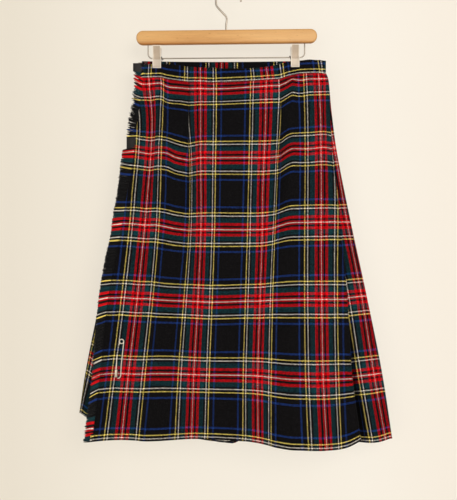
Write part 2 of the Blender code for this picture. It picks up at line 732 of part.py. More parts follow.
def add_bar(wood):
    shape = bmesh.new()
    bmesh.ops.create_cube(shape, size=1)
    bmesh.ops.scale(shape, vec=Vector((BAR_LENGTH, BAR_DEPTH, BAR_HEIGHT)) * MM, verts=shape.verts)
    ends = [e for e in shape.edges if abs(e.verts[0].co.y - e.verts[1].co.y) > BAR_DEPTH / 2 * MM]
    bmesh.ops.bevel(
        shape, geom=ends, offset=BAR_END_RADIUS * MM, segments=6, profile=0.5, affect="EDGES", material=-1
    )
    rims = [e for e in shape.edges if abs(e.verts[0].co.y - e.verts[1].co.y) < MM]
    bmesh.ops.bevel(shape, geom=rims, offset=2.0 * MM, segments=2, profile=0.5, affect="EDGES", material=-1)
    tilt = Matrix.Rotation(-BAR_TILT, 4, "Y")
    centre = Matrix.Translation(Vector((BAR_CENTRE[0], 0, BAR_CENTRE[1])) * MM)
    bmesh.ops.transform(shape, matrix=centre @ tilt, verts=shape.verts)
    bar = add_bmesh("hanger_bar", shape, wood, smooth_below=radians(60))
    top = BAR_HEIGHT / 2
    stem_x = hook_stem()[0][0]
    bar_top = on_bar(stem_x - BAR_CENTRE[0], top)[1]
    hole = bar_top - HOOK_HOLE_DEPTH
    drill(bar, "hook_hole", HOOK_WIRE + 2 * SEAM, (stem_x, 0, hole), (stem_x, 0, bar_top + 10), wood)
    for name, x in (("left", ROD_LEFT), ("right", ROD_RIGHT)):
        under = on_bar(x, -top)[1]
        deepest = (x, 0, under + ROD_HOLE_DEPTH)
        drill(bar, f"rod_hole_{name}", ROD_WIRE + 2 * SEAM, (x, 0, under - 10), deepest, wood)
    return bar


def hook_stem():
    """The hook's stem up to where its circle starts, in the hanger's plane."""
    foot = BAR_CENTRE[1] + BAR_HEIGHT / 2 - HOOK_HOLE_DEPTH + 2 * SEAM
    return [
        (-4.8, foot),
        (-4.8, -70.0),
        (-3.6, -62.0),
        (-3.2, -57.0),
        (-6.0, -50.8),
        (-11.0, -45.6),
        (-17.2, -39.0),
    ]


def add_hanger(wood, metal, spring_steel):
    add_bar(wood)
    circle = arc(HOOK_CENTRE, HOOK_RADIUS, 200, 5, 22)
    wire("hanger_hook", [(x, 0, z) for x, z in hook_stem() + circle], HOOK_WIRE, metal)
    seated = ROD_HOLE_DEPTH - 1
    under_left = on_bar(ROD_LEFT, -BAR_HEIGHT / 2)[1] + seated
    under_right = on_bar(ROD_RIGHT, -BAR_HEIGHT / 2)[1] + seated
    corner = ROD_CORNER
    rod = [(ROD_LEFT, under_left)]
    rod += arc((ROD_LEFT + corner, ROD_LEVEL_LEFT + corner), corner, 180, 270, 6)
    rod += arc((ROD_RIGHT - corner, ROD_LEVEL_RIGHT + corner), corner, 270, 360, 6)
    rod.append((ROD_RIGHT, under_right))
    wire("hanger_rod", [(x, 0, z) for x, z in rod], ROD_WIRE, metal)
    for name, x, top, bottom in CLIP_PLACES:
        add_clip(name, x, top, bottom, metal, spring_steel)


def add_clip(name, across, top, bottom, metal, spring_steel):
    """Two bent plates on the rod, held shut on the waistband by a coil spring round the rod."""
    share = (across - ROD_LEFT) / (ROD_RIGHT - ROD_LEFT)
    rod_z = between(ROD_LEVEL_LEFT, ROD_LEVEL_RIGHT, share)
    grips = (("front", -1, -BAND_PINCHED + BAND / 2), ("back", 1, BACK[0].side + BAND / 2))
    for side, way, face in grips:
        grip = face + SEAM + CLIP_SHEET / 2
        pivot = SPRING_RADIUS + SPRING_WIRE / 2 + SEAM + CLIP_SHEET / 2
        profile = (
            (top, pivot + 5.6),
            (top - 3, pivot + 5.0),
            (rod_z + 10, pivot + 1.4),
            (rod_z + 3.5, pivot),
            (rod_z - 2.0, pivot),
            (rod_z - 4.2, grip),
            (bottom + 2.5, grip),
            (bottom, grip + 0.8),
        )
        half = CLIP_WIDTH / 2
        rows = [[Vector((across + x, way * y, z)) * MM for x in (-half, 0, half)] for z, y in profile]
        cloth_sheet(f"clip_{name}_{side}", rows, CLIP_SHEET, metal)
    points = []
    for step in range(SPRING_TURNS * 12 + 1):
        angle = tau * step / 12
        x = across + SPRING_PITCH * (step / 12 - SPRING_TURNS / 2)
        points.append((x, SPRING_RADIUS * cos(angle), rod_z + SPRING_RADIUS * sin(angle)))
    wire(f"clip_{name}_spring", points, SPRING_WIRE, spring_steel, rounding=1)


def build():
    clear_scene()
    tartan = finish_for("tartan_wool", (0.05, 0.03, 0.035), 0.9)
    band_cloth = finish_for("tartan_band", (0.03, 0.03, 0.05), 0.9)
    yarn = finish_for("fringe_yarn", (0.25, 0.02, 0.03), 0.95)
    leather = finish_for("strap_leather", (0.03, 0.03, 0.03), 0.55)
    nickel = finish_for("nickel_wire", (0.62, 0.58, 0.52), 0.3, 1.0)
    spring_steel = finish_for("spring_steel", (0.06, 0.055, 0.05), 0.45, 1.0)
    wood = finish_for("beech_wood", (0.72, 0.42, 0.18), 0.5)
    apron = add_cloth(tartan, band_cloth, yarn)
    for strap in (UPPER_STRAP, LOWER_STRAP):
        add_strap(strap, leather, nickel)
    add_kilt_pin(apron, nickel)
    add_hanger(wood, nickel, spring_steel)


build()
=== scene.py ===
"""The looks of a tartan kilt clipped by its waistband to a wooden skirt hanger.

Frame: metres, +Z up, +Y towards the wall, +X to the right as seen from in front. Tables are in
millimetres. Across and height columns are read on the hanger's plane, along lines of sight from an eye
EYE_DISTANCE in front of it at EYE_HEIGHT, and `placed` slides each point along its line to its depth.
A run is how far down the cloth a row lies from the waist seam. The tartan is woven by the materials from
each point's place in the cloth, counted in threads.
"""

from collections import namedtuple
from functools import lru_cache
from math import atan2, cos, pi, radians, sin, tau

import bmesh
import bpy
import numpy as np
from mathutils import Matrix, Vector


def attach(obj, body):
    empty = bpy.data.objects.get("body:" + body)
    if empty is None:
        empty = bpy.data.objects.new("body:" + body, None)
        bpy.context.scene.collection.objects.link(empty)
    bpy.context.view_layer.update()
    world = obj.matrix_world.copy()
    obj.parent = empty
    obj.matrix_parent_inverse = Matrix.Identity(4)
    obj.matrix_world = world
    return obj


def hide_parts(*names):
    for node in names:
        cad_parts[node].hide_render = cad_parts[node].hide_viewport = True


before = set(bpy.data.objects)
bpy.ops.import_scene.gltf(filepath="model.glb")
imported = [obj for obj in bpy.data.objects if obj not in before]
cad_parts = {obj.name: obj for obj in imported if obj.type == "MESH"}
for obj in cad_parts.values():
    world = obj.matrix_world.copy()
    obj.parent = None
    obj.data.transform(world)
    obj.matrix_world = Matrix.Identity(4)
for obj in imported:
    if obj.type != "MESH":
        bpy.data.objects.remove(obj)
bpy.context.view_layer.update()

MM = 0.001
EYE_DISTANCE = 1400.0
EYE_HEIGHT = -519.0

# The warp's threads are counted across the front and the weft's down it. The tartan mirrors every SETT
# threads and repeats every two.
SETT = 96
REPEAT = 2 * SETT
WARP = 0.6875
WEFT = 0.755

# How thick each layer is, and the gaps that part layers sewn together.
CLOTH = 1.0
BAND = 2.2
LEATHER = 2.0
CHAPE = 1.2
SEAM = 0.3
WAIST_SEAM = 0.45

# The back's pleats: how many, and as shares of what shows of one, the plain cloth past the last one and
# how far each turns under.
PLEATS = 11
PLAIN_LEFT = 0.35
UNDERFOLD = 0.85
FIRST_UNDERFOLD = 0.55
SIDE_UNDERFOLD = 0.3

# ---- The solid's own tables ---------------------------------------------------------------------

# A table without runs of its own has a row for each of these, from inside the waistband to the hem.
RUNS = (-13, 0, 72, 145, 290, 435, 580, 702)
BAND_RUN, HEM_RUN = RUNS[0], RUNS[-1]
# From here down the back's and the side pleat's rows curve towards the hem's own line.
HEM_CURVE = (560, HEM_RUN)
Front = namedtuple("Front", "tips edge red1 clip1 red2 red3 clip2 red4 fold")
FRONT_ACROSS = (
    Front(-188, -171, -160, -134, -56, 76, 124, 180, 195),
    Front(-189, -173, -160, -135, -56, 76, 126, 180, 199),
    Front(-198, -183, -153, -135, -56, 73, 126, 184, 203),
    Front(-206, -190, -157, -135, -56, 71, 123, 183, 207),
    Front(-229, -214, -167, -139, -56, 68, 127, 185, 223),
    Front(-257, -240, -184, -155, -61, 62, 127, 188, 238),
    Front(-272, -256, -200, -165, -70, 58, 127, 189, 248),
    Front(-287, -271, -214, -175, -74, 58, 127, 196, 265),
)
FRONT_DEPTH = (
    Front(-2.0, -2.7, -2.7, -2.7, -17.5, -14, -2.7, -2.7, -2.2),
    Front(0, -2, -6, -8, -21, -21, -8, -7, -3.5),
    Front(0, -3, -14, -20, -34, -33, -20, -16, -5),
    Front(-4, -8, -22, -30, -44, -42, -32, -26, -10),
    Front(-16, -20, -32, -38, -48, -42, -42, -38, -20),
    Front(-28, -32, -40, -40, -42, -44, -48, -45, -28),
    Front(-37, -40, -46, -44, -42, -50, -52, -48, -34),
    Front(-41, -44, -50, -48, -44, -52, -56, -52, -38),
)
# Where the columns from edge to fold lie along the smooth curves through them.
FRONT_STATIONS = (0, 0.5, 0.8, 2, 3.6, 4.2, 4.9, 5.1)
# The waistband's depth at the clips, and how much deeper its front sags between them.
BAND_PINCHED = -2.7
BAND_SAG = 18.0

Right = namedtuple("Right", "layers turned_under across depth height")
RIGHT_SIDE = (
    Right(1.5, 20, 194.5, 1, -166),
    Right(1.6, 22, 198, 1.5, -177),
    Right(1.8, 24, 206, 3, -245),
    Right(2.2, 27, 215, 4, -315),
    Right(2.8, 31, 244, 4, -463),
    Right(3.4, 35, 276, 2, -611),
    Right(4, 39, 307, 0, -766),
    Right(4.5, 42, 327, -2, -896),
)
Back = namedtuple("Back", "side middle right_height middle_height left_height")
BACK = (
    Back(5.5, 5.5, -166, -169, -173),
    Back(6.5, 7.5, -178, -183, -187),
    Back(9, 14, -247, -256, -259),
    Back(11.5, 20, -318, -330, -329),
    Back(14, 26, -466, -479, -471),
    Back(16, 30, -614, -628, -619),
    Back(18, 33, -769, -779, -751),
    Back(19, 35, -897, -906, -847),
)
Under = namedtuple(
    "Under", "left_across left_depth middle_depth right_depth right_across left_height right_height"
)
UNDER_APRON = (
    Under(-172, 0, 0, 0, 146, -173, -167),
    Under(-175, 0.5, -1, -1, 147, -187, -179),
    Under(-185, 1, -8, -5, 149, -259, -247),
    Under(-195, 0, -14, -10, 152, -328, -317),
    Under(-223, -6, -18, -12, 159, -469, -463),
    Under(-256, -14, -20, -12, 167, -617, -609),
    Under(-284, -18, -20, -12, 176, -754, -755),
    Under(-298, -20, -20, -12, 184, -845, -869),
)
# The waistband's upper edge: along the front's stations, and round the back and the under-apron.
BAND_TOP_FRONT = (-148, -148, -147, -154, -153, -142, -138.5, -139)
BAND_TOP_BACK = (-140.5, -144, -142)
BAND_TOP_UNDER = (-141.5, -143, -141)

# ---- Where the tartan's threads lie -------------------------------------------------------------

# The front's warp lines at each run down the cloth, in three panels that darts part at the waist:
# how many threads each line is from the first red stripe, how far across it hangs, and how high.
GRAIN_RUNS = (-13, 0, 72, 145, 217, 290, 435, 580, 702)
Line = namedtuple("Line", "name threads across height")
WARP_LINES = (
    Line(
        "edge",
        (-17, -17, -42, -50, -57, -65, -78, -78, -78),
        (-171, -172.4, -181.6, -188.6, -201, -213, -240.6, -257, -273),
        (-174.8, -187.6, -255.4, -321.7, -396.4, -466.2, -614.7, -768.5, -902.8),
    ),
    Line(
        "margin",
        (-8.5, -8.5, -21, -25, -28.5, -32.5, -39, -39, -39),
        (-164.2, -164.4, -166.6, -171.8, -180.2, -188.8, -210, -229, -245.2),
        (-174.8, -187.4, -256.2, -324.6, -396.2, -467, -614.5, -765.9, -900.2),
    ),
    Line(
        "red1",
        0,
        (-158.6, -158, -152.6, -155.2, -160.8, -167, -182.4, -200.2, -214.4),
        (-174.2, -187, -256.8, -326.8, -398, -469.1, -616.4, -767, -899),
    ),
    Line(
        "white1",
        36,
        (-135.4, -134.8, -136.6, -139.8, -141.2, -144.3, -156.8, -172.8, -185.8),
        (-174, -186, -254.6, -324.1, -396.2, -469.2, -617, -767.3, -900.2),
    ),
    Line(
        "blue1",
        59,
        (-122, -121.8, -122, -124.2, -125.9, -129.6, -142, -156, -169.4),
        (-177.6, -192.4, -258.8, -325.5, -398, -471.6, -618.6, -766.6, -901.8),
    ),
    Line(
        "black1",
        96,
        (-98.6, -97, -97.2, -105.8, -105.6, -108.9, -120.6, -133, -143.8),
        (-181, -195, -263.4, -333.8, -404, -476, -620, -766.2, -901.4),
    ),
    Line(
        "dart1",
        (124, 124, 121, 139, 140, 140, 140, 140, 140),
        (-78, -78.4, -80.4, -80.4, -80.7, -83, -94.6, -106, -113.2),
        (-183, -196.8, -267.4, -339.6, -408.6, -479.4, -621, -766.6, -899.4),
    ),
    Line(
        "past1",
        (161, 160, 154, 141, 140, 140, 140, 140, 140),
        (-77.8, -78.2, -80.2, -80.2, -80.5, -82.8, -94.4, -105.8, -113),
        (-183, -196.8, -267.4, -339.6, -408.6, -479.4, -621, -766.6, -899.4),
    ),
    Line(
        "red2",
        192,
        (-55.8, -55.6, -55.6, -55.6, -55, -55.2, -61.2, -69.4, -74.2),
        (-183, -196.2, -264.8, -334.4, -406, -478.4, -622.3, -768.3, -897),
    ),
    Line(
        "white2",
        228,
        (-30, -30, -30.2, -31.4, -32.1, -33.2, -38.2, -44.2, -47.8),
        (-184.1, -197, -263.9, -334.7, -405.5, -478.4, -623.4, -768.9, -897.4),
    ),
    Line(
        "white3",
        348,
        (50.2, 49.8, 48.4, 46.6, 44.9, 43.4, 39.2, 35, 34.4),
        (-180.6, -192.9, -262.7, -334.5, -406.1, -478.6, -621.5, -770, -901.8),
    ),
    Line(
        "red3",
        384,
        (75.4, 75.2, 74, 71, 68.3, 67.6, 63, 58.5, 59.4),
        (-179, -191.2, -262.2, -334.6, -405.6, -478, -621.1, -771, -905.4),
    ),
    Line(
        "white4",
        420,
        (99.4, 100.2, 98.2, 94.8, 92.4, 89, 83.4, 80.4, 80.2),
        (-177.4, -190.3, -261.5, -332.9, -403.9, -474.8, -619.7, -773.3, -910.3),
    ),
    Line(
        "dart2",
        (425, 425, 432, 443, 443, 443, 443, 443, 443),
        (102.8, 103.4, 105.4, 104, 101.4, 99.4, 96.4, 94, 93.8),
        (-176.6, -189.8, -261, -330.9, -402.6, -471.4, -619.1, -775, -914.4),
    ),
    Line(
        "past2",
        (462, 461, 463.5, 443.5, 443, 443, 443, 443, 443),
        (103, 103.6, 105.6, 104.2, 101.6, 99.6, 96.6, 94.2, 94),
        (-176.6, -189.8, -261, -330.9, -402.6, -471.4, -619.1, -775, -914.4),
    ),
    Line(
        "black4",
        485,
        (118, 119, 120.2, 125.6, 123.8, 122.6, 121.2, 121.4, 124),
        (-171.6, -183.4, -252.2, -317.3, -391.4, -465, -618.5, -777.8, -919.4),
    ),
    Line(
        "blue4",
        517,
        (140.6, 140.2, 142.8, 143.6, 143.4, 142.2, 141.8, 143.2, 148.4),
        (-166.8, -178.8, -248.2, -316.8, -390.4, -464.2, -618, -778.6, -920.4),
    ),
    Line(
        "white5",
        540,
        (155.6, 156.4, 158.4, 159.2, 159, 158.6, 158.5, 160.8, 167),
        (-165.7, -177.4, -246.8, -316.8, -389.6, -463.8, -618, -779, -921.1),
    ),
    Line(
        "red4",
        576,
        (179.8, 180.4, 183.6, 184.5, 185.2, 185.1, 186.4, 189.6, 197),
        (-165.4, -176.8, -245.8, -314.2, -388.8, -463.4, -618, -779.1, -920.6),
    ),
    Line(
        "lap",
        (590.4, 591.6, 594.4, 595.8, 600.6, 607, 619, 625.7, 636.6),
        (189.2, 191.8, 195, 197.8, 203.6, 208.4, 216.8, 224, 237),
        (-166.2, -176.5, -246.4, -314.6, -389.6, -462.9, -618, -777.6, -914.6),
    ),
    Line(
        "fold",
        (600, 602, 605.8, 609, 617, 627.7, 647.7, 658.8, 677),
        (195, 199, 203, 207, 216, 224, 237.6, 247.8, 265),
        (-166.2, -176.2, -247.4, -316.6, -390.8, -463.4, -618, -776.7, -901),
    ),
)
LINE_NAMES = [line.name for line in WARP_LINES]
GRAIN_THREADS = np.array([np.broadcast_to(line.threads, len(GRAIN_RUNS)) for line in WARP_LINES], float).T
GRAIN_ACROSS = np.array([line.across for line in WARP_LINES]).T
GRAIN_HEIGHT = np.array([line.height for line in WARP_LINES]).T
# The waistband's warp lines in front: how many threads each is, and how far across it hangs.
BAND_LINES = (-8, 36, 156, 192, 228, 348, 384, 420, 540, 562)
BAND_LINES_ACROSS = (-190, -160, -81.8, -56.2, -30.6, 50.6, 77, 104, 186.4, 201.5)

# Stations across each row are the threads of the row at 435, below the darts.
GRAIN_STATIONS = GRAIN_THREADS[GRAIN_RUNS.index(435)]
# Each panel's first and last line, and how many cells it is cut into across.
PANELS = (("edge", "dart1", 58), ("past1", "dart2", 66), ("past2", "fold", 60))
# The darts pinch the cloth back by this much, within about this far, and run out between these runs.
DART_PINCH = 2.0
DART_WIDTH = 2.4
DART_ENDS = (120, 280)
# Below the band the rows rise and dip at the right-hand clip: across, rise and width of each bump, and
# the runs between which the bumps start and end.
CREST = ((127, 3.6, 7.5), (147, -1.4, 8))
CREST_STARTS = (-12, 0)
CREST_ENDS = (36, 106)

# How far across the side pleat's red stripe hangs.
SIDE_RED_ACROSS = (180, 185.5, 198, 211.5, 237, 266, 291, 314.5)
# The left turn hangs higher than its run: the run that shows at each level, and its fold's thread.
LEFT_RUNS = (-13, 0, 76, 153, 306, 458, 602, 699)
LEFT_THREAD = (-57, -57, -57, -57, -57, -57, -56, -48)

# Low down, the side pleat stands open beside the apron's fold: how deep, between which runs it opens,
# where behind the fold it deepens, where past the fold its lip is, and how wide its mouth is from there,
# where it opens and at the hem.
GAP_DEPTH = 22.0
GAP_RUNS = (470, 600)
GAP_BEHIND = (-24, -4)
GAP_LIP = 1.5
GAP_MOUTHS = (4.0, 15.0)

# Creases: soft troughs where depth is above nought and ridges below it, along a line down the cloth.
Crease = namedtuple("Crease", "x_top z_top x_low z_low width depth")
# A crease that reaches below this keeps its full depth to the hem. Others fade out over this share of
# their length, as all fade in, and each sways from side to side by this much, once in so many radians.
CREASE_PAST_HEM = -900
CREASE_FADES_IN = 0.3
CREASE_FADES_OUT = 0.4
CREASE_SWAY = 2.5
CREASE_WAVE = 47
FRONT_CREASES = (
    Crease(-80, -190, -83, -640, 11.0, 9.0),
    Crease(-83, -560, -112, -960, 16.0, 3.0),
    Crease(103, -190, 99, -620, 11.0, 9.0),
    Crease(98, -560, 94, -960, 15.0, 3.0),
    Crease(-146, -178, -150, -520, 8.0, 5.0),
    Crease(-136, -165, -128, -330, 6.0, -2.2),
    Crease(-120, -175, -92, -300, 7.0, 1.6),
    Crease(122, -165, 121, -380, 8.0, -2.6),
    Crease(141, -170, 152, -430, 9.0, 2.4),
    Crease(163, -172, 178, -700, 10.0, -2.2),
    Crease(20, -200, 26, -620, 22.0, -3.2),
    Crease(-24, -230, -20, -560, 15.0, 1.6),
    Crease(48, -260, 44, -700, 12.0, 1.4),
    Crease(-176, -420, -208, -960, 13.0, 2.8),
    Crease(-140, -520, -152, -960, 12.0, -3.4),
    Crease(-42, -560, -44, -960, 17.0, -3.6),
    Crease(-4, -640, -2, -960, 14.0, 2.4),
    Crease(34, -600, 36, -960, 13.0, -2.4),
    Crease(128, -620, 132, -960, 15.0, -4.0),
    Crease(166, -560, 176, -960, 13.0, 3.2),
    Crease(205, -520, 222, -960, 12.0, -3.0),
    Crease(-236, -700, -248, -960, 10.0, -2.0),
)
SIDE_CREASES = (
    Crease(214, -330, 244, -960, 9.0, 1.8),
    Crease(230, -420, 286, -960, 10.0, -2.4),
)
BACK_CREASES = (
    Crease(-150, -230, -236, -960, 13.0, 2.6),
    Crease(-118, -420, -176, -960, 16.0, -3.0),
    Crease(-84, -220, -108, -760, 12.0, 2.2),
    Crease(-52, -380, -62, -960, 15.0, -2.8),
    Crease(-8, -260, -6, -960, 17.0, 3.2),
    Crease(34, -200, 52, -640, 12.0, -2.0),
    Crease(66, -430, 98, -960, 15.0, 2.8),
    Crease(112, -240, 158, -820, 13.0, -2.4),
    Crease(146, -300, 226, -960, 14.0, 2.6),
)
UNDER_CREASES = (
    Crease(-120, -220, -190, -900, 15.0, 2.4),
    Crease(-60, -260, -82, -900, 18.0, -3.0),
    Crease(10, -220, 4, -900, 15.0, 2.8),
    Crease(76, -300, 92, -900, 17.0, -2.6),
)

# ---- Curves and places --------------------------------------------------------------------------


def between(start, end, share):
    return start + (end - start) * share


def smooth(stations, values, at):
    """Smooth curves through rows of values at rising stations, read at places along them."""
    stations, values, at = (np.asarray(a, float) for a in (stations, values, at))
    steps = np.diff(stations)
    wide = (-1,) + (1,) * (values.ndim - 1)
    secants = np.diff(values, axis=0) / steps.reshape(wide)
    slopes = np.concatenate([secants[:1], (secants[:-1] + secants[1:]) / 2, secants[-1:]])
    i = np.clip(np.searchsorted(stations, at, side="right") - 1, 0, len(steps) - 1)
    t = ((at - stations[i]) / steps[i]).reshape(at.shape + (1,) * (values.ndim - 1))
    step = steps[i].reshape(t.shape)
    start, rise = values[i], values[i + 1] - values[i]
    bend = (slopes[i] * step - rise) * (1 - t) + (rise - slopes[i + 1] * step) * t
    return start + rise * t + bend * t * (1 - t)


def eased(share):
    share = np.clip(share, 0, 1)
    return share * share * (3 - 2 * share)


def rising(at, start, end):
    """Nought at start, one at end and eased between them."""
    return eased((at - start) / (end - start))


def on_curve(three, share):
    """A parabola through its start, middle and end."""
    start, middle, end = three
    return start + (end - start) * share + (middle - (start + end) / 2) * 4 * share * (1 - share)


@lru_cache(maxsize=None)
def at_run(rows, run):
    """A table's row at any run down the cloth."""
    return type(rows[0])(*smooth(RUNS, rows, [run])[0])


def placed(across, depth, height, height_depth=None):
    """Places in metres of points read on the hanger's plane that really lie at these depths."""
    across, depth, height = np.broadcast_arrays(*(np.asarray(a, float) for a in (across, depth, height)))
    share = (EYE_DISTANCE + depth) / EYE_DISTANCE
    height_share = share if height_depth is None else (EYE_DISTANCE + height_depth) / EYE_DISTANCE
    z = EYE_HEIGHT + (height - EYE_HEIGHT) * height_share
    return np.stack([across * share, depth, z], axis=-1) * MM


def seam_share(run):
    """How much a row belongs to the waist seam, where every layer shares its height."""
    return float(np.clip(run / BAND_RUN, 0, 1))


def placed_near_seam(across, depth, height, run, seam_depth_read):
    """Places of a row whose heights at the waist seam are read at the seam's own depth."""
    below = placed(across, depth, height)
    share = seam_share(run)
    if not share:
        return below
    return between(below, placed(across, depth, height, seam_depth_read), share)


def seam_depth(across):
    """How deep the front of the waist seam lies: pinched at the clips, sagging between them."""
    left, right = FRONT_ACROSS[0].clip1, FRONT_ACROSS[0].clip2
    half = (right - left) / 2
    share = np.minimum(np.abs(across - (left + right) / 2) / half, 1)
    return BAND_PINCHED - BAND_SAG * (1 - share * share)


def creased(creases, across, height):
    """How far the creases push the cloth back at these places."""
    pushed = np.zeros(np.broadcast(across, height).shape)
    for crease in creases:
        share = (crease.z_top - height) / (crease.z_top - crease.z_low)
        line = between(crease.x_top, crease.x_low, share)
        sway = CREASE_SWAY * np.sin(height / CREASE_WAVE + crease.x_top)
        ends = eased(share / CREASE_FADES_IN)
        if crease.z_low >= CREASE_PAST_HEM:
            ends = ends * eased((1 - share) / CREASE_FADES_OUT)
        pushed += crease.depth * ends * np.exp(-(((across - line - sway) / crease.width) ** 2))
    return pushed


def arc(centre, radius, start, end, steps):
    """Points along an arc, from one angle in degrees to another."""
    angles = [radians(between(start, end, step / steps)) for step in range(steps + 1)]
    return [(centre[0] + radius * cos(angle), centre[1] + radius * sin(angle)) for angle in angles]


def rounded_line(points, times):
    """A line with its corners cut off again and again, its ends kept."""
    points = np.asarray(points, float)
    for _ in range(times):
        near = points[:-1] * 0.75 + points[1:] * 0.25
        far = points[:-1] * 0.25 + points[1:] * 0.75
        inner = np.stack([near, far], axis=1).reshape(-1, points.shape[1])
        points = np.concatenate([points[:1], inner, points[-1:]])
    return points


def lengths_along(points):
    steps = np.linalg.norm(np.diff(points, axis=0), axis=1)
    return np.concatenate([[0], np.cumsum(steps)])


# ---- Meshes -------------------------------------------------------------------------------------


def new_mesh(name, shape, smoothly=True):
    mesh = bpy.data.meshes.new(name)
    shape.to_mesh(mesh)
    shape.free()
    if smoothly:
        mesh.shade_smooth()
    return mesh


def coordinates(mesh):
    flat = np.empty(len(mesh.vertices) * 3)
    mesh.vertices.foreach_get("co", flat)
    return flat.reshape(-1, 3)


def add_piece(mesh, material, slot, *nodes):
    """A piece with its mesh's name, in place of the solids that it stands for."""
    mesh.materials.append(material)
    obj = bpy.data.objects.new(mesh.name, mesh)
    bpy.context.scene.collection.objects.link(obj)
    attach(obj, "root")
    if nodes:
        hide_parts(*nodes)
    return obj


def write_threads(mesh, threads):
    """Stores each point's warp and weft count, which the tartan is woven from."""
    attribute = mesh.attributes.new("cloth", "FLOAT_VECTOR", "POINT")
    attribute.data.foreach_set("vector", np.ascontiguousarray(threads, np.float32).ravel())


def sheet_mesh(name, points, threads=None):
    """A smooth surface through a grid of points, rows from the top, seen from in front."""
    down, across = points.shape[0] - 1, points.shape[1] - 1
    shape = bmesh.new()
    bmesh.ops.create_grid(shape, x_segments=across, y_segments=down, size=1)
    mesh = new_mesh(name, shape)
    flat = coordinates(mesh)
    column = np.rint((flat[:, 0] + 1) / 2 * across).astype(int)
    row = np.rint((1 - flat[:, 1]) / 2 * down).astype(int)
    mesh.vertices.foreach_set("co", np.ascontiguousarray(points[row, column]).ravel())
    if threads is not None:
        full = np.concatenate([threads, np.zeros(threads.shape[:2] + (1,))], axis=-1)
        write_threads(mesh, full[row, column])
    mesh.update()
    return mesh


def write_rim(mesh, points, rim):
    """Stores how far each point belongs to the sheet's bright rim."""
    places = coordinates(mesh)
    gaps = np.linalg.norm(places[:, None] - points.reshape(-1, 3)[None], axis=2)
    nearest = rim.ravel()[gaps.argmin(axis=1)]
    attribute = mesh.attributes.new("rim", "FLOAT", "POINT")
    attribute.data.foreach_set("value", np.ascontiguousarray(nearest, np.float32))


def walled(obj, thickness):
    """Gives a sheet its thickness, half of it to each side."""
    wall = obj.modifiers.new("wall", "SOLIDIFY")
    wall.thickness = thickness * MM
    wall.offset = 0
    wall.use_even_offset = False
    wall.use_quality_normals = True
    return obj


def softened(obj, width):
    """Rounds the rim of a walled sheet."""
    bevel = obj.modifiers.new("edges", "BEVEL")
    bevel.width = width * MM
    bevel.segments = 2
    bevel.limit_method = "ANGLE"
    bevel.angle_limit = radians(35)
    return obj


HOOP = 3


def ring_mesh(name, rings, sides, closed):
    """A tube of unit rings with, for each vertex, the ring and the side that it is on.

    An open tube stands upright, its ends filled. A closed one is a ring HOOP in radius.
    """
    count = rings if closed else rings - 1
    shape = bmesh.new()
    bmesh.ops.create_grid(shape, x_segments=sides, y_segments=count, size=1)
    for vert in shape.verts:
        side = round((vert.co.x + 1) / 2 * sides) % sides
        ring = round((1 - vert.co.y) / 2 * count) % rings
        turn, around = tau * side / sides, tau * ring / rings
        out = HOOP + cos(turn)
        if closed:
            vert.co = (out * cos(around), out * sin(around), sin(turn))
        else:
            vert.co = (cos(turn), sin(turn), ring)
    bmesh.ops.remove_doubles(shape, verts=shape.verts[:], dist=1e-4)
    if not closed:
        ends = [edge for edge in shape.edges if edge.is_boundary]
        bmesh.ops.holes_fill(shape, edges=ends, sides=0)
    bmesh.ops.recalc_face_normals(shape, faces=shape.faces[:])
    mesh = new_mesh(name, shape)
    x, y, z = coordinates(mesh).T
    if closed:
        turn = np.arctan2(z, np.hypot(x, y) - HOOP)
        ring = np.rint(np.arctan2(y, x) / tau * rings).astype(int) % rings
    else:
        turn = np.arctan2(y, x)
        ring = np.rint(z).astype(int)
    side = np.rint(turn / tau * sides).astype(int) % sides
    return mesh, ring, side


def tube_points(path, radius, sides, closed=False):
    """Rings round a path, each square to it, turned as little as the path allows."""
    path = np.asarray(path, float)
    count = len(path)
    radius = np.broadcast_to(np.asarray(radius, float), (count,))
    if closed:
        along = np.roll(path, -1, axis=0) - np.roll(path, 1, axis=0)
    else:
        along = np.gradient(path, axis=0)
    along /= np.linalg.norm(along, axis=1)[:, None]
    first = np.cross(along[0], (0.0, 1.0, 0.0))
    if np.linalg.norm(first) < 0.2:
        first = np.cross(along[0], (1.0, 0.0, 0.0))
    out = np.empty_like(path)
    held = first / np.linalg.norm(first)
    for i in range(count):
        held = held - along[i] * (held @ along[i])
        held /= np.linalg.norm(held)
        out[i] = held
    aside = np.cross(along, out)
    turns = tau * np.arange(sides) / sides
    ring = np.cos(turns)[None, :, None] * out[:, None] + np.sin(turns)[None, :, None] * aside[:, None]
    return path[:, None] + ring * radius[:, None, None]


CAP_ANGLES = (0.5, 0.95, 1.3)


def tube_mesh(name, path, radius, sides=12, closed=False, rounded_ends=False):
    """A round wire along a path in millimetres."""
    path = np.asarray(path, float)
    radii = np.full(len(path), float(radius))
    if rounded_ends:
        for _ in range(2):
            way = path[-1] - path[-2]
            way /= np.linalg.norm(way)
            cap = [path[-1] + way * radius * sin(angle) for angle in CAP_ANGLES]
            path = np.concatenate([path, cap])[::-1]
            radii = np.concatenate([radii, [radius * cos(angle) for angle in CAP_ANGLES]])[::-1]
    mesh, ring, side = ring_mesh(name, len(path), sides, closed)
    points = tube_points(path, radii, sides, closed)
    mesh.vertices.foreach_set("co", np.ascontiguousarray(points[ring, side] * MM).ravel())
    mesh.update()
    return facing_out(mesh)


def facing_out(mesh):
    """Turns a closed mesh's faces round if they point inwards."""
    shape = bmesh.new()
    shape.from_mesh(mesh)
    if shape.calc_volume(signed=True) < 0:
        bmesh.ops.reverse_faces(shape, faces=shape.faces[:])
        shape.to_mesh(mesh)
        mesh.shade_smooth()
    shape.free()
    return mesh


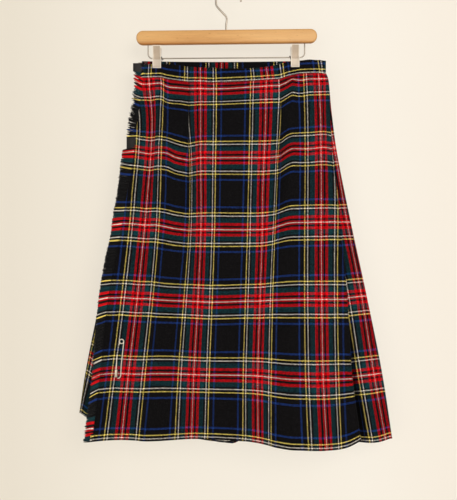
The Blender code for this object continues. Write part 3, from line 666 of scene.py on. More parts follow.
def box_shape(*size):
    shape = bmesh.new()
    bmesh.ops.create_cube(shape, size=1)
    bmesh.ops.scale(shape, vec=Vector(size) * MM, verts=shape.verts)
    return shape


def bevel_edges(shape, edges, width, segments):
    settings = {"segments": segments, "profile": 0.5, "affect": "EDGES", "material": -1}
    bmesh.ops.bevel(shape, geom=edges, offset=width * MM, **settings)


def joined(name, shapes):
    """One mesh from many separate shapes."""
    whole = bmesh.new()
    for shape in shapes:
        part = bpy.data.meshes.new("part")
        shape.to_mesh(part)
        shape.free()
        whole.from_mesh(part)
        bpy.data.meshes.remove(part)
    return new_mesh(name, whole)


# ---- Materials ----------------------------------------------------------------------------------

# The bar's sizes, which its wood needs for the painted shade along its lower edge.
BAR_LENGTH = 361.0
BAR_DEPTH = 12.0
BAR_HEIGHT = 28.0
BAR_CENTRE = (-3.6, -93.4)
BAR_TILT = radians(0.66)


def linear(red, green, blue):
    """A colour in linear light from its everyday values up to 255."""
    values = [c / 255 for c in (red, green, blue)]
    return [c / 12.92 if c <= 0.04045 else ((c + 0.055) / 1.055) ** 2.4 for c in values] + [1.0]


class Nodes:
    """A material's nodes, made and wired in one step."""

    def __init__(self, name):
        self.material = bpy.data.materials.new(name)
        self.material.use_nodes = True
        self.tree = self.material.node_tree
        self.shader = self.tree.nodes["Principled BSDF"]

    def add(self, kind, inputs=(), **settings):
        node = self.tree.nodes.new(kind)
        for key, value in settings.items():
            setattr(node, key, value)
        for key, value in dict(inputs).items():
            self.put(node.inputs[key], value)
        return node

    def put(self, socket, value):
        if isinstance(value, bpy.types.NodeSocket):
            self.tree.links.new(value, socket)
        else:
            socket.default_value = value

    def maths(self, operation, *values):
        return self.add("ShaderNodeMath", enumerate(values), operation=operation).outputs[0]

    def mix(self, share, a, b, kind="MIX"):
        node = self.add("ShaderNodeMix", data_type="RGBA", blend_type=kind)
        self.put(node.inputs[0], share)
        self.put(node.inputs[6], a)
        self.put(node.inputs[7], b)
        return node.outputs[2]

    def ramp(self, share, stops, interpolation="LINEAR"):
        node = self.add("ShaderNodeValToRGB", {0: share})
        ramp = node.color_ramp
        ramp.interpolation = interpolation
        while len(ramp.elements) < len(stops):
            ramp.elements.new(1.0)
        for element, (place, colour) in zip(ramp.elements, stops):
            element.position = place
            element.color = colour
        return node.outputs[0]

    def attribute(self, name, output):
        return self.add("ShaderNodeAttribute", attribute_name=name).outputs[output]

    def place(self):
        return self.add("ShaderNodeTexCoord").outputs["Object"]

    def parts(self, vector):
        return self.add("ShaderNodeSeparateXYZ", {0: vector}).outputs

    def noise(self, scale, detail=2.0, roughness=0.5, stretch=None):
        at = self.place()
        if stretch:
            at = self.add("ShaderNodeMapping", {"Vector": at, "Scale": stretch}).outputs[0]
        inputs = {"Vector": at, "Scale": scale, "Detail": detail, "Roughness": roughness}
        return self.add("ShaderNodeTexNoise", inputs).outputs[0]

    def gamma(self, colour, power):
        return self.add("ShaderNodeGamma", {0: colour, 1: power}).outputs[0]

    def relief(self, height, strength, distance):
        inputs = {"Height": height, "Strength": strength, "Distance": distance}
        return self.add("ShaderNodeBump", inputs).outputs[0]

    def finish(self, **inputs):
        for key, value in inputs.items():
            self.put(self.shader.inputs[key.replace("_", " ")], value)
        return self.material


# Two mixed colours of thread look darker than their mean, because each shades the other.
SHADE_POWER = 2.3


def dyed(red, green, blue):
    """A yarn's colour, such that woven with itself it shows these everyday values."""
    return [c ** (1 / SHADE_POWER) for c in linear(red, green, blue)[:3]] + [1.0]


WHITE = dyed(238, 231, 221)
RED = dyed(214, 0, 14)
GREEN = dyed(14, 56, 63)
BLUE = dyed(22, 54, 124)
YELLOW = dyed(255, 230, 116)
BLACK = dyed(9, 8, 10)
# Half the sett from its middle out: where each stripe starts, in threads, and its colour. A white line
# lies in the very middle, and its red starts sooner among the warp's threads than among the weft's.
STRIPES = (
    (5.2, BLACK),
    (10.2, RED),
    (17.6, GREEN),
    (30, BLACK),
    (34.6, WHITE),
    (37.2, BLACK),
    (43.0, YELLOW),
    (45.7, BLACK),
    (57, BLUE),
    (61.6, BLACK),
)
WARP_WHITE = 0.74
WEFT_WHITE = 1.0
# Added to a thread's number, so that the warp and the weft vary apart from each other.
WARP_SEED = 7.0
WEFT_SEED = 407.0
# How much of the weft's colour shows where the warp crosses over it, and where it crosses over the warp.
WEFT_UNDER = 0.125
WEFT_OVER = 0.955


def shaded(nodes, colour, tone):
    grey = nodes.add("ShaderNodeCombineColor", {0: tone, 1: tone, 2: tone}).outputs[0]
    return nodes.mix(1.0, colour, grey, "MULTIPLY")


def varied(nodes, colour, noise, strength):
    """A colour made lighter and darker by a noise, about the same on the whole."""
    return shaded(nodes, colour, nodes.maths("MULTIPLY_ADD", noise, strength, 1 - strength / 2))


def thread_colour(nodes, threads, white, strength, seed):
    """The stripes' colours, every thread a little lighter or darker than the next."""
    share = nodes.maths("DIVIDE", nodes.maths("PINGPONG", threads, float(SETT)), float(SETT))
    stripes = ((0, WHITE), (white, RED)) + STRIPES
    colour = nodes.ramp(share, [(start / SETT, colour) for start, colour in stripes], "CONSTANT")
    number = nodes.maths("ADD", nodes.maths("FLOOR", threads), seed)
    tone = nodes.add("ShaderNodeTexWhiteNoise", {"W": number}, noise_dimensions="1D").outputs[0]
    return varied(nodes, colour, tone, strength)


def round_threads(nodes, threads):
    return nodes.maths("ABSOLUTE", nodes.maths("SINE", nodes.maths("MULTIPLY", threads, pi)))


def tartan(name):
    """Worsted wool in a two-and-two twill: half of each crossing shows the warp and half the weft."""
    nodes = Nodes(name)
    place = nodes.parts(nodes.attribute("cloth", "Vector"))
    warp_sway = nodes.maths("MULTIPLY_ADD", nodes.noise(70.0), 1.0, -0.5)
    weft_sway = nodes.maths("MULTIPLY_ADD", nodes.noise(55.0, stretch=(1.0, 1.0, 1.7)), 1.0, -0.5)
    warp = nodes.maths("ADD", place[0], warp_sway)
    weft = nodes.maths("ADD", place[1], weft_sway)
    step = nodes.maths("ADD", nodes.maths("FLOOR", warp), nodes.maths("FLOOR", weft))
    wale = nodes.maths("LESS_THAN", nodes.maths("FLOORED_MODULO", step, 4.0), 1.5)
    share = nodes.maths("MULTIPLY_ADD", wale, WEFT_OVER - WEFT_UNDER, WEFT_UNDER)
    warp_colour = thread_colour(nodes, warp, WARP_WHITE, 0.16, WARP_SEED)
    weft_colour = thread_colour(nodes, weft, WEFT_WHITE, 0.16, WEFT_SEED)
    colour = nodes.mix(share, warp_colour, weft_colour)
    nap = varied(nodes, colour, nodes.noise(400.0, 3.0, 0.7), 1.6)
    lint = nodes.ramp(nodes.noise(520.0, 2.0), [(0.5, (0, 0, 0, 1)), (0.78, linear(20, 19, 20))])
    height = {0: wale, 2: round_threads(nodes, warp), 3: round_threads(nodes, weft)}
    relief = nodes.add("ShaderNodeMix", height).outputs[0]
    return nodes.finish(
        Base_Color=nodes.mix(1.0, nodes.gamma(nap, SHADE_POWER), lint, "ADD"),
        Roughness=0.88,
        Specular_IOR_Level=0.1,
        Sheen_Weight=0.03,
        Sheen_Roughness=0.45,
        Normal=nodes.relief(relief, 0.35, 0.0002),
    )


def yarn(name):
    """Loose weft threads, which keep the colour of the stripe they come from."""
    nodes = Nodes(name)
    weft = nodes.parts(nodes.attribute("cloth", "Vector"))[1]
    colour = thread_colour(nodes, weft, WEFT_WHITE, 0.3, WEFT_SEED)
    colour = nodes.gamma(varied(nodes, colour, nodes.noise(1500.0, 3.0), 0.5), SHADE_POWER)
    return nodes.finish(
        Base_Color=colour, Roughness=0.9, Specular_IOR_Level=0.15, Sheen_Weight=0.12
    )


def plain(name, colour, roughness, metallic=0.0, grain=0.0, grain_scale=600.0, bump=0.0, shine=0.5):
    """One colour all over, with a fine grain in its tone, its gloss and its surface."""
    nodes = Nodes(name)
    spots = nodes.noise(grain_scale, 4.0)
    return nodes.finish(
        Base_Color=varied(nodes, linear(*colour), spots, 2 * grain),
        Roughness=nodes.maths("MULTIPLY_ADD", spots, 0.16, roughness - 0.08),
        Metallic=metallic,
        Specular_IOR_Level=shine,
        Normal=nodes.relief(spots, bump, 0.0003),
    )


def plate(name):
    """Brushed sheet steel, brighter where its turned rim catches the light."""
    nodes = Nodes(name)
    rim = nodes.attribute("rim", "Fac")
    colour = nodes.mix(rim, linear(188, 170, 150), linear(238, 228, 212))
    colour = varied(nodes, colour, nodes.noise(260.0, 3.0, stretch=(1.0, 1.0, 0.2)), 0.16)
    return nodes.finish(Base_Color=colour, Roughness=0.5, Metallic=0.35, Specular_IOR_Level=0.4)


def beech(name):
    """Honey-coloured beech: a fine straight grain along the bar, short dark flecks, and painted shade along
    its lower edge.
    """
    nodes = Nodes(name)
    grain = nodes.noise(42.0, 5.0, 0.6, (0.09, 1.0, 1.0))
    fine = nodes.noise(420.0, 3.0, 0.6, (0.05, 1.0, 1.0))
    fleck = nodes.noise(900.0, 1.0, 0.5, (0.16, 1.0, 1.0))
    height = nodes.parts(nodes.place())[2]
    rise = nodes.maths("MULTIPLY_ADD", height, 1 / (BAR_HEIGHT * MM), 0.5 - BAR_CENTRE[1] / BAR_HEIGHT)
    full = linear(255, 255, 255)
    tones = [(0.36, linear(238, 187, 121)), (0.52, linear(229, 174, 107)), (0.7, linear(209, 150, 87))]
    flecks = nodes.ramp(fleck, [(0.68, full), (0.78, linear(226, 212, 196))])
    # Painted shade: the bar's lowest fifth is darker, as its rounded underside would be in shade under
    # light from above.
    painted_lower_shade = nodes.ramp(rise, [(0.0, linear(214, 190, 166)), (0.2, full)])
    colour = varied(nodes, nodes.ramp(grain, tones), fine, 0.22)
    colour = nodes.mix(1.0, colour, flecks, "MULTIPLY")
    colour = nodes.mix(1.0, colour, painted_lower_shade, "MULTIPLY")
    relief = nodes.relief(fine, 0.12, 0.0002)
    return nodes.finish(Base_Color=colour, Roughness=0.42, Specular_IOR_Level=0.4, Normal=relief)


TARTAN = tartan("tartan_wool")
BAND_TARTAN = tartan("tartan_band")
YARN = yarn("fringe_yarn")
STRAP = plain("strap_leather", (38, 36, 35), 0.6, grain=0.5, grain_scale=420.0, bump=0.5, shine=0.3)
NICKEL = plain("nickel", (214, 200, 182), 0.3, 1.0, grain=0.04, bump=0.04)
PIN_METAL = plain("pin_nickel", (246, 236, 220), 0.34, 0.55, grain=0.04, bump=0.04)
ROD_METAL = plain("rod_steel", (192, 180, 164), 0.34, 1.0, grain=0.05)
PLATE = plate("clip_plate")
SPRING = plain("spring_steel", (60, 56, 54), 0.4, 1.0, grain=0.1)
THREAD = plain("strap_thread", (30, 28, 28), 0.8, grain=0.1)
BEECH = beech("beech_wood")


# ---- The over-apron -----------------------------------------------------------------------------


def front_stations():
    """(across, depth) of the solid's front at each level and at close stations across it."""
    stations = np.linspace(FRONT_STATIONS[0], FRONT_STATIONS[-1], 41)
    across = np.array([smooth(FRONT_STATIONS, row[1:], stations) for row in FRONT_ACROSS])
    depth = np.array([smooth(FRONT_STATIONS, row[1:], stations) for row in FRONT_DEPTH])
    depth[0] = seam_depth(across[0])
    return across, depth


FRONT_X, FRONT_Y = front_stations()


def front_depth(run, across, height):
    """The depth of the over-apron's middle surface, its creases included."""
    stations = smooth(RUNS, FRONT_X, [run])[0]
    depths = smooth(RUNS, FRONT_Y, [run])[0]
    depth = np.interp(across, stations, depths)
    return depth + creased(FRONT_CREASES, across, height) * (1 - seam_share(run))


def front_depth_at(run, across, height):
    return float(front_depth(run, np.array([across]), np.array([height]))[0])


def grain_at(run):
    """Across, height and warp thread of every warp line at one run."""
    return (smooth(GRAIN_RUNS, table, [run])[0] for table in (GRAIN_ACROSS, GRAIN_HEIGHT, GRAIN_THREADS))


def front_row(run):
    """The front at one run: across, depth, height and warp thread of each point, panel by panel."""
    x_at, z_at, u_at = grain_at(run)
    columns = []
    for first, last, cells in PANELS:
        span = slice(LINE_NAMES.index(first), LINE_NAMES.index(last) + 1)
        stations = GRAIN_STATIONS[span]
        at = np.linspace(stations[0], stations[-1], cells + 1)
        x, z = (smooth(stations, table[span], at) for table in (x_at, z_at))
        columns.append(np.stack([x, z, np.interp(at, stations, u_at[span])]))
    x, z, u = np.concatenate(columns, axis=1)
    crest = sum(rise * np.exp(-(((x - across) / width) ** 2)) for across, rise, width in CREST)
    z = z + crest * rising(run, *CREST_STARTS) * (1 - rising(run, *CREST_ENDS))
    y = front_depth(run, x, z)
    for dart in ("dart1", "dart2"):
        away = (x - x_at[LINE_NAMES.index(dart)]) / DART_WIDTH
        y = y + DART_PINCH * np.exp(-(away**2)) * (1 - rising(run, *DART_ENDS))
    return x, y, z, u


def rounded_fold(tip, way, near, far, steps=7):
    """A half-round fold in plan between two layers: way is where the cloth lies from it."""
    radius = abs(far - near) / 2
    middle = (near + far) / 2
    angles = [pi * step / steps for step in range(steps + 1)]
    lean = 1 if far > near else -1
    return [(tip + way * radius * (1 - sin(a)), middle - lean * radius * cos(a)) for a in angles]


def over_apron_rows(runs):
    """The front's rows, each turned back under itself at the fold."""
    points, threads = [], []
    for run in runs:
        right = at_run(RIGHT_SIDE, run)
        x, y, z, u = front_row(run)
        fold_x, fold_y = x[-1], y[-1]
        tucked = fold_x - right.layers / 2
        before = x[:-1] < tucked
        last = np.flatnonzero(before)[-1]
        x[:-1][~before] = tucked - 0.01
        behind = fold_y + right.layers
        turned = rounded_fold(fold_x, -1, fold_y, behind)
        turned += [(fold_x - right.turned_under * share, behind) for share in (0.15, 0.3, 0.5, 0.75)]
        turned = np.array(turned)
        edge_u = u[last] + (fold_x - x[last]) / WARP if last < len(u) - 2 else u[-1]
        x = np.concatenate([x[:-1], turned[:, 0]])
        y = np.concatenate([y[:-1], turned[:, 1]])
        z = np.concatenate([z[:-1], np.full(len(turned), z[-1])])
        u = np.concatenate([u[:-1], max(edge_u, u[-2]) + lengths_along(turned) / WARP])
        points.append(placed_near_seam(x, y, z, run, np.minimum(y, BAND_PINCHED)))
        threads.append(np.stack([u, np.full(len(u), run / WEFT)], axis=-1))
    return np.array(points), np.array(threads)


def add_over_apron():
    runs = np.concatenate([[BAND_RUN, -9.5, -6, -3], np.linspace(0, HEM_RUN, 188)])
    mesh = sheet_mesh("over_apron_cloth", *over_apron_rows(runs))
    return walled(add_piece(mesh, TARTAN, "tartan_wool", "over_apron"), CLOTH)


# ---- Side pleat, back and under-apron -----------------------------------------------------------

# Where the back's hem rises: how far, and between which places across each rise starts and ends.
HEM_RISES = ((5.6, (11, 17), (95, 75)), (2.24, (-26, -31), (-34, -29)))
# The side pleat bulges by this share of its depth, and its hem sinks between its ends. Its threads lie
# wider than elsewhere up to its red stripe.
SIDE_BULGE = 0.12
SIDE_DROOP = 7.0
SIDE_WARP = 0.765
# The under-apron hangs low inside its left turn: how far, between which runs it does, and between which
# distances from the turn it starts and ends. Its threads lie closer than elsewhere.
LEFT_DROOP = 9.5
LEFT_DROOP_RUNS = (150, 410)
LEFT_DROOP_STARTS = (0, 17)
LEFT_DROOP_ENDS = (30, 160)
LEFT_TURN_STEPS = 14
LEFT_FLATNESS = 0.9
LEFT_CLOSENESS = 0.74


@lru_cache(maxsize=None)
def back_span(run):
    """Where the back's pleats start, how much shows of each, and where its left turn is."""
    right = at_run(RIGHT_SIDE, run)
    start = right.across - right.layers
    left = at_run(UNDER_APRON, run).left_across
    return start, (start - left) / (PLEATS + PLAIN_LEFT), left


def back_share(run, across):
    start, _, left = back_span(run)
    return np.clip((start - across) / (start - left), 0, 1)


def back_depth(run, across):
    back = at_run(BACK, run)
    return on_curve((back.side, back.middle, back.side), back_share(run, across))


def back_height(run, across):
    back = at_run(BACK, run)
    heights = (back.right_height, back.middle_height, back.left_height)
    return smooth((0, 0.5, 1), heights, np.atleast_1d(back_share(run, across)))


def turned_back(run, number):
    return back_span(run)[1] * (FIRST_UNDERFOLD if number == 1 else UNDERFOLD)


def shingle_depth(run, number, across, lower):
    """A pleat's depth: it climbs over the next one, and `lower` counts its layers towards the wall."""
    start, reveal, _ = back_span(run)
    layers = at_run(RIGHT_SIDE, run).layers
    climb = 2 * layers * (1 - (across - (start - number * reveal)) / reveal)
    return back_depth(run, across) + climb - lower * layers


def hidden_end(run, number, gap):
    """Where a pleat's last layer ends, halfway under the next one."""
    start, reveal, _ = back_span(run)
    x = start - number * reveal + turned_back(run, number) / 2 - gap
    return x, float(shingle_depth(run, number, x, 2))


def pleat_plan(run, number):
    """One knife pleat in plan, with how many threads each point is from the pleat's middle line."""
    start, reveal, _ = back_span(run)
    layers = at_run(RIGHT_SIDE, run).layers
    begin = start - (number - 1) * reveal
    fold = begin - reveal
    under = turned_back(run, number)

    def raised(x, lower):
        return x, float(shingle_depth(run, number, x, lower))

    shown = (0.02, 0.14, 0.27, 0.4, 0.53, 0.66, 0.79, 0.9)
    points = [raised(begin - reveal * share, 0) for share in shown]
    near, far = raised(fold + layers, 0)[1], raised(fold + layers, 1)[1]
    points += rounded_fold(fold, 1, near, far, 6)
    points += [raised(fold + under * share, 1) for share in (0.15, 0.3, 0.5, 0.7, 0.85)]
    inner_x = fold + under
    near, far = (raised(inner_x - layers, lower)[1] for lower in (1, 2))
    points += rounded_fold(inner_x, -1, near, far, 5)
    points += [raised(fold + under * share, 2) for share in (0.8, 0.66)]
    points.append(hidden_end(run, number, 0))
    points = np.array(points)
    arc_length = lengths_along(points)
    panel = slice(len(shown))
    middle = np.interp(reveal * 0.5 - begin, -points[panel, 0], arc_length[panel])
    return points, (arc_length - middle) / WARP


def back_place(run, x, y):
    """Places of a row of the back: one height along each line of sight, and the creases' push."""
    rises = sum(rise * rising(x, *starts) * rising(x, *ends) for rise, starts, ends in HEM_RISES)
    height = back_height(run, x) + rises * rising(run, *HEM_CURVE)
    y = y - creased(BACK_CREASES, x, height) * (1 - seam_share(run))
    return placed_near_seam(x, y, height, run, BACK[0].side)


def shown_run(run, share):
    """The run that shows in a row's left part, which hangs higher than the rest."""
    left = float(smooth(RUNS, LEFT_RUNS, [run])[0])
    return between(run, left, np.asarray(share) ** 2)


def back_rows(runs, first, last):
    """Some of the back's pleats in one folded sheet, each showing the same stripes."""
    points, threads = [], []
    for run in runs:
        plan = [np.array([hidden_end(run, first - 1, 2 * SEAM)])]
        warp = []
        for number in range(first, last + 1):
            pleat, from_middle = pleat_plan(run, number)
            if number == first:
                step = np.linalg.norm(pleat[0] - plan[0][0])
                warp.append([from_middle[0] - step / WARP + REPEAT * number])
            plan.append(pleat)
            warp.append(from_middle + REPEAT * number)
        plan = np.concatenate(plan)
        points.append(back_place(run, plan[:, 0], plan[:, 1]))
        weft = shown_run(run, back_share(run, plan[:, 0])) / WEFT
        threads.append(np.stack([np.concatenate(warp), weft], axis=-1))
    return np.array(points), np.array(threads)


def side_panel(run, begin, fold_x):
    """The side pleat's front: across, depth and share of the way to the side, hollow beside the fold."""
    right = at_run(RIGHT_SIDE, run)
    end_x = right.across - right.layers
    at_fold = min((fold_x - begin[0]) / max(end_x - begin[0], 1), 0.8)
    shares = [at_fold * part for part in (0.35, 0.6, 0.78, 0.92)]
    shares += [between(at_fold, 1, part) for part in (0.02, 0.09, 0.16, 0.23, 0.32, 0.45, 0.62, 0.8, 0.93)]
    gap = GAP_DEPTH * rising(run, *GAP_RUNS)
    mouth = between(*GAP_MOUTHS, rising(run, GAP_RUNS[0], HEM_RUN))
    panel = []
    for share in shares:
        x = between(begin[0], end_x, share)
        past = x - fold_x
        hollow = gap * (1 - eased((past - GAP_LIP) / mouth) if past > 0 else rising(past, *GAP_BEHIND))
        bulge = sin(share * pi) * SIDE_BULGE * (right.depth - begin[1])
        panel.append((x, between(begin[1], right.depth, share) - bulge + hollow, share))
    return panel


def side_turns(run, begin):
    """The side pleat's turns behind its front, as far as the back's first pleat."""
    right = at_run(RIGHT_SIDE, run)
    layers = right.layers
    start, reveal, _ = back_span(run)
    turns = rounded_fold(right.across, -1, right.depth, right.depth + layers, 8)
    under = reveal * SIDE_UNDERFOLD
    lean = (right.depth - begin[1]) / max(right.across - begin[0], 40)
    near = right.depth + layers - lean * (under - layers) * 0.9
    turns += rounded_fold(right.across - under, 1, near, near + layers, 5)
    turn_depth = right.depth + 2 * layers
    back_start = float(back_depth(run, start))
    reach = (back_start - turn_depth) / 2
    edge = start - max(reach - layers, 0)
    turns += arc((edge, (turn_depth + back_start) / 2), reach, -90, 90, 8)
    return [(x, y, 1.0) for x, y in turns]


def side_pleat_rows(runs):
    """The side pleat from under the apron's fold, round the side and along the back's first pleat."""
    points, threads = [], []
    for run in runs:
        right = at_run(RIGHT_SIDE, run)
        fold_x, fold_depth, fold_height, _ = (column[-1] for column in front_row(run))
        first = fold_depth + right.layers
        plan = [(fold_x - right.turned_under * 0.75 - SEAM * 2, first, 0.0)]
        inner = rounded_fold(fold_x - right.turned_under, 1, first, first + right.layers, 6)
        plan += [(x, y, 0.0) for x, y in inner]
        begin = plan[-1]
        front_from = len(plan) - 1
        plan += side_panel(run, begin, fold_x)
        front = slice(front_from, len(plan))
        x, y, side_share = np.array(plan + side_turns(run, begin)).T
        height = between(fold_height, right.height, side_share)
        front_only = np.zeros(len(x))
        front_only[front] = np.sin(np.linspace(0, pi, front.stop - front.start))
        y = y + creased(SIDE_CREASES, x, height) * front_only * (1 - seam_share(run))
        height = height - SIDE_DROOP * np.sin(side_share**1.7 * pi) * rising(run, *HEM_CURVE)
        placed_front = placed_near_seam(x, y, height, run, BAND_PINCHED)
        pleat, from_middle = (part[1:] for part in pleat_plan(run, 1))
        points.append(np.concatenate([placed_front, back_place(run, pleat[:, 0], pleat[:, 1])]))
        along = lengths_along(np.stack([x, y], axis=-1))
        red = float(np.interp(smooth(RUNS, SIDE_RED_ACROSS, [run])[0], x[front], along[front]))
        warp = (along - red) / np.where(along < red, SIDE_WARP, WARP)
        warp = np.concatenate([warp + 4 * REPEAT, from_middle + 5 * REPEAT])
        threads.append(np.stack([warp, np.full(len(warp), run / WEFT)], axis=-1))
    return np.array(points), np.array(threads)


def under_apron_rows(runs):
    """The under-apron from beneath the last pleat, round the left turn and across to the right."""
    points, threads = [], []
    for run in runs:
        _, reveal, left = back_span(run)
        under = at_run(UNDER_APRON, run)
        last_fold = left + PLAIN_LEFT * reveal
        hidden = hidden_end(run, PLEATS, 2 * SEAM)
        back_y = float(back_depth(run, last_fold))
        plan = [hidden, (between(hidden[0], last_fold, 0.5), between(hidden[1], back_y, 0.5))]
        plan.append((last_fold, back_y))
        half = (back_y - under.left_depth) / 2
        outline = len(plan) + LEFT_TURN_STEPS // 2
        for step in range(LEFT_TURN_STEPS + 1):
            angle = pi * step / LEFT_TURN_STEPS
            turn_x = left + half * LEFT_FLATNESS - half * LEFT_FLATNESS * sin(angle)
            plan.append((turn_x, under.left_depth + half + half * cos(angle)))
        behind = len(plan)
        shares = np.linspace(0, 1, 61)[1:]
        front_x = between(left + half, under.right_across, shares)
        depths = (under.left_depth, under.middle_depth, under.right_depth)
        front_y = smooth((0, 0.45, 1), depths, shares)
        plan = np.concatenate([np.array(plan), np.stack([front_x, front_y], axis=-1)])
        across = np.concatenate([np.zeros(behind), shares])
        height = between(under.left_height, under.right_height, across)
        inward = np.clip(plan[:, 0] - left, 0, None)
        drooped = rising(inward, *LEFT_DROOP_STARTS) * (1 - rising(inward, *LEFT_DROOP_ENDS))
        height = height - LEFT_DROOP * rising(run, *LEFT_DROOP_RUNS) * drooped
        push = creased(UNDER_CREASES, plan[:, 0], height)
        push[:behind] = 0
        plan[:, 1] += push * eased(across / 0.1) * (1 - seam_share(run))
        points.append(placed_near_seam(plan[:, 0], plan[:, 1], height, run, 0.0))
        along = lengths_along(plan)
        outline_thread = float(smooth(RUNS, LEFT_THREAD, [run])[0])
        warp = outline_thread + (along - along[outline]) * LEFT_CLOSENESS / WARP
        weft = shown_run(run, 1 - np.clip(across * 1.6, 0, 1)) / WEFT
        threads.append(np.stack([warp, weft], axis=-1))
    return np.array(points), np.array(threads)


def add_back():
    runs = np.concatenate([[BAND_RUN, -8, -4], np.linspace(0, HEM_RUN, 121)])
    made = {}
    for name, rows in (
        ("side_pleat", side_pleat_rows(runs)),
        ("back_pleats_right", back_rows(runs, 2, 4)),
        ("back_pleats_middle", back_rows(runs, 5, 8)),
        ("back_pleats_left", back_rows(runs, 9, PLEATS)),
        ("under_apron", under_apron_rows(runs)),
    ):
        mesh = sheet_mesh(f"{name}_cloth", *rows)
        made[name] = walled(add_piece(mesh, TARTAN, "tartan_wool", name), CLOTH)
    return made


# ---- The waistband ------------------------------------------------------------------------------


# Where the front ends among its own stations, how many stations round the band lie in front, and how many
# bulge outwards.
BAND_FRONT_END = 4.94
BAND_FRONT_STATIONS = 110
BAND_BULGING = 175
# The weft thread along the lower edge in front and behind, how close the threads behind lie, and inside
# the back, where the warp's first thread lies and how wide each is.
BAND_WEFT = 34
BAND_WEFT_BEHIND = 66
BAND_CLOSENESS_BEHIND = 0.7
BAND_INSIDE_START = -149
BAND_INSIDE_WARP = 0.7052


def band_path():
    """Stations round the band: across, depth, lower edge, upper edge and warp thread."""
    stations = np.linspace(FRONT_STATIONS[0], BAND_FRONT_END, BAND_FRONT_STATIONS)
    x = smooth(FRONT_STATIONS, FRONT_ACROSS[0][1:], stations)
    top = smooth(FRONT_STATIONS, BAND_TOP_FRONT, stations)
    low = np.interp(x, GRAIN_ACROSS[0], GRAIN_HEIGHT[0])
    # Past the right-hand clip the upper edge ripples a little.
    ripple = 0.9 * np.sin((x - 150) / 6.5) * np.exp(-(((x - 165) / 22) ** 2))
    warp = np.interp(x, BAND_LINES_ACROSS, BAND_LINES)
    front = np.stack([x, seam_depth(x), low + WAIST_SEAM, top + ripple, warp], axis=-1)
    back, under = BACK[0], UNDER_APRON[0]
    left_end = under.left_across + back.side / 2
    shares = np.linspace(0, 1, 61)[1:]
    reach = (back.side - BAND_PINCHED) / 2
    turn = arc((FRONT_ACROSS[0].fold - 1.2 - reach, BAND_PINCHED + reach), reach, -80, 90, 14)
    around = [(px, py, back.right_height, BAND_TOP_BACK[0]) for px, py in turn]
    for share in shares:
        px = between(turn[-1][0], left_end, share)
        around.append((px, back.side, float(back_height(BAND_RUN, px)[0]), on_curve(BAND_TOP_BACK, share)))
    turn = arc((left_end, back.side / 2), back.side / 2, 90, 270, 12)[1:]
    around += [(px, py, back.left_height, BAND_TOP_UNDER[0]) for px, py in turn]
    for share in shares:
        low = between(under.left_height, under.right_height, share)
        px = between(left_end, under.right_across, share)
        around.append((px, 0.0, low, on_curve(BAND_TOP_UNDER, share)))
    around = np.array(around)
    along = lengths_along(np.concatenate([front[-1:, :2], around[:, :2]]))[1:]
    warp = front[-1, 4] + along / WARP
    inside = slice(-len(shares), None)
    warp[inside] = (around[inside, 0] - BAND_INSIDE_START) / BAND_INSIDE_WARP
    around[:, 2] += WAIST_SEAM
    return np.concatenate([front, np.column_stack([around, warp])])


def add_waistband():
    x, y, low, top, warp = band_path().T
    number = np.arange(len(x))
    points, threads = [], []
    for share in (0, 0.08, 0.2, 0.36, 0.52, 0.68, 0.84, 1):
        bulge = 0.5 * np.sin(pi * share)
        height = between(top, low, share)
        outward = np.where(y > 3, bulge, -bulge) * (number < BAND_BULGING)
        points.append(placed(x, y + outward, height))
        weft = BAND_WEFT + (height - low) / WEFT
        weft_behind = BAND_WEFT_BEHIND + (height - low) * BAND_CLOSENESS_BEHIND / WEFT
        # In front the stripes lean, to the right and further the further right they are.
        leaning = np.clip((x + 80) / 55, -2, 4.5) * (number < BAND_FRONT_STATIONS)
        leant = warp - leaning * (share - 0.5) / WARP
        threads.append(np.stack([leant, np.where(y > -0.6, weft_behind, weft)], axis=-1))
    mesh = sheet_mesh("waistband_cloth", np.array(points), np.array(threads))
    return softened(walled(add_piece(mesh, BAND_TARTAN, "tartan_band", "waistband"), BAND), 0.8)


# ---- The fringe ---------------------------------------------------------------------------------

# Down the cloth: how far the yarns' tips drop below their roots, how loosely they lie and how far they
# reach past the solid.
Loose = namedtuple("Loose", "run drop scatter past")
FRINGE = (
    Loose(-23, -5, 1.4, -1.2),
    Loose(-13, -7, 1.4, -1.2),
    Loose(0, -10, 1.5, -1.2),
    Loose(20, -5, 1.4, -2.2),
    Loose(45, -6, 1.5, -3.0),
    Loose(75, -7, 1.7, -1.2),
    Loose(98, -4, 1.5, -1.2),
    Loose(131, 5, 0.6, 6.0),
    Loose(146, 2, 0.6, 7.0),
    Loose(160, -1, 0.7, 6.5),
    Loose(175, -4, 0.7, 6.0),
    Loose(192, -2, 0.5, 5.5),
    Loose(240, 0, 0.4, 4.4),
    Loose(268, 1, 0.35, 5.0),
    Loose(285, 3, 0.3, 4.8),
    Loose(305, 2, 0.3, 3.2),
    Loose(370, 1, 0.3, 4.0),
    Loose(430, 4, 0.3, 3.2),
    Loose(480, 7, 0.4, 2.6),
    Loose(540, 8, 0.4, 2.2),
    Loose(580, 7, 0.5, 1.6),
    Loose(620, 9, 0.6, 1.8),
    Loose(660, 4, 0.8, 2.6),
    Loose(702, 2, 0.9, 2.6),
)


# A yarn's stations from root to tip, and its radius at each.
YARN_SHARES = np.array([0, 0.14, 0.34, 0.56, 0.79, 1.0])
YARN_ARCH = np.sin(YARN_SHARES * pi)
YARN_RADII = np.array([0.5, 0.6, 0.62, 0.6, 0.56, 0.4])
STRAY_RADII = np.array([0.5, 0.6, 0.62, 0.6, 0.55, 0.25])
YARN_SIDES = 5
# Yarns lie in tufts whose tips gather, the more the looser they lie, up to this scatter.
TUFT_SCATTER = 1.4
# Below this run the fringe is a separate strip of the cloth, cut this much lower down.
STRIP_RUN = 655
STRIP_SHIFT = 47
# How many frayed ends stand out from the waistband's free end and from the hem's corner.
BAND_STRAYS = 70
HEM_STRAYS = 34


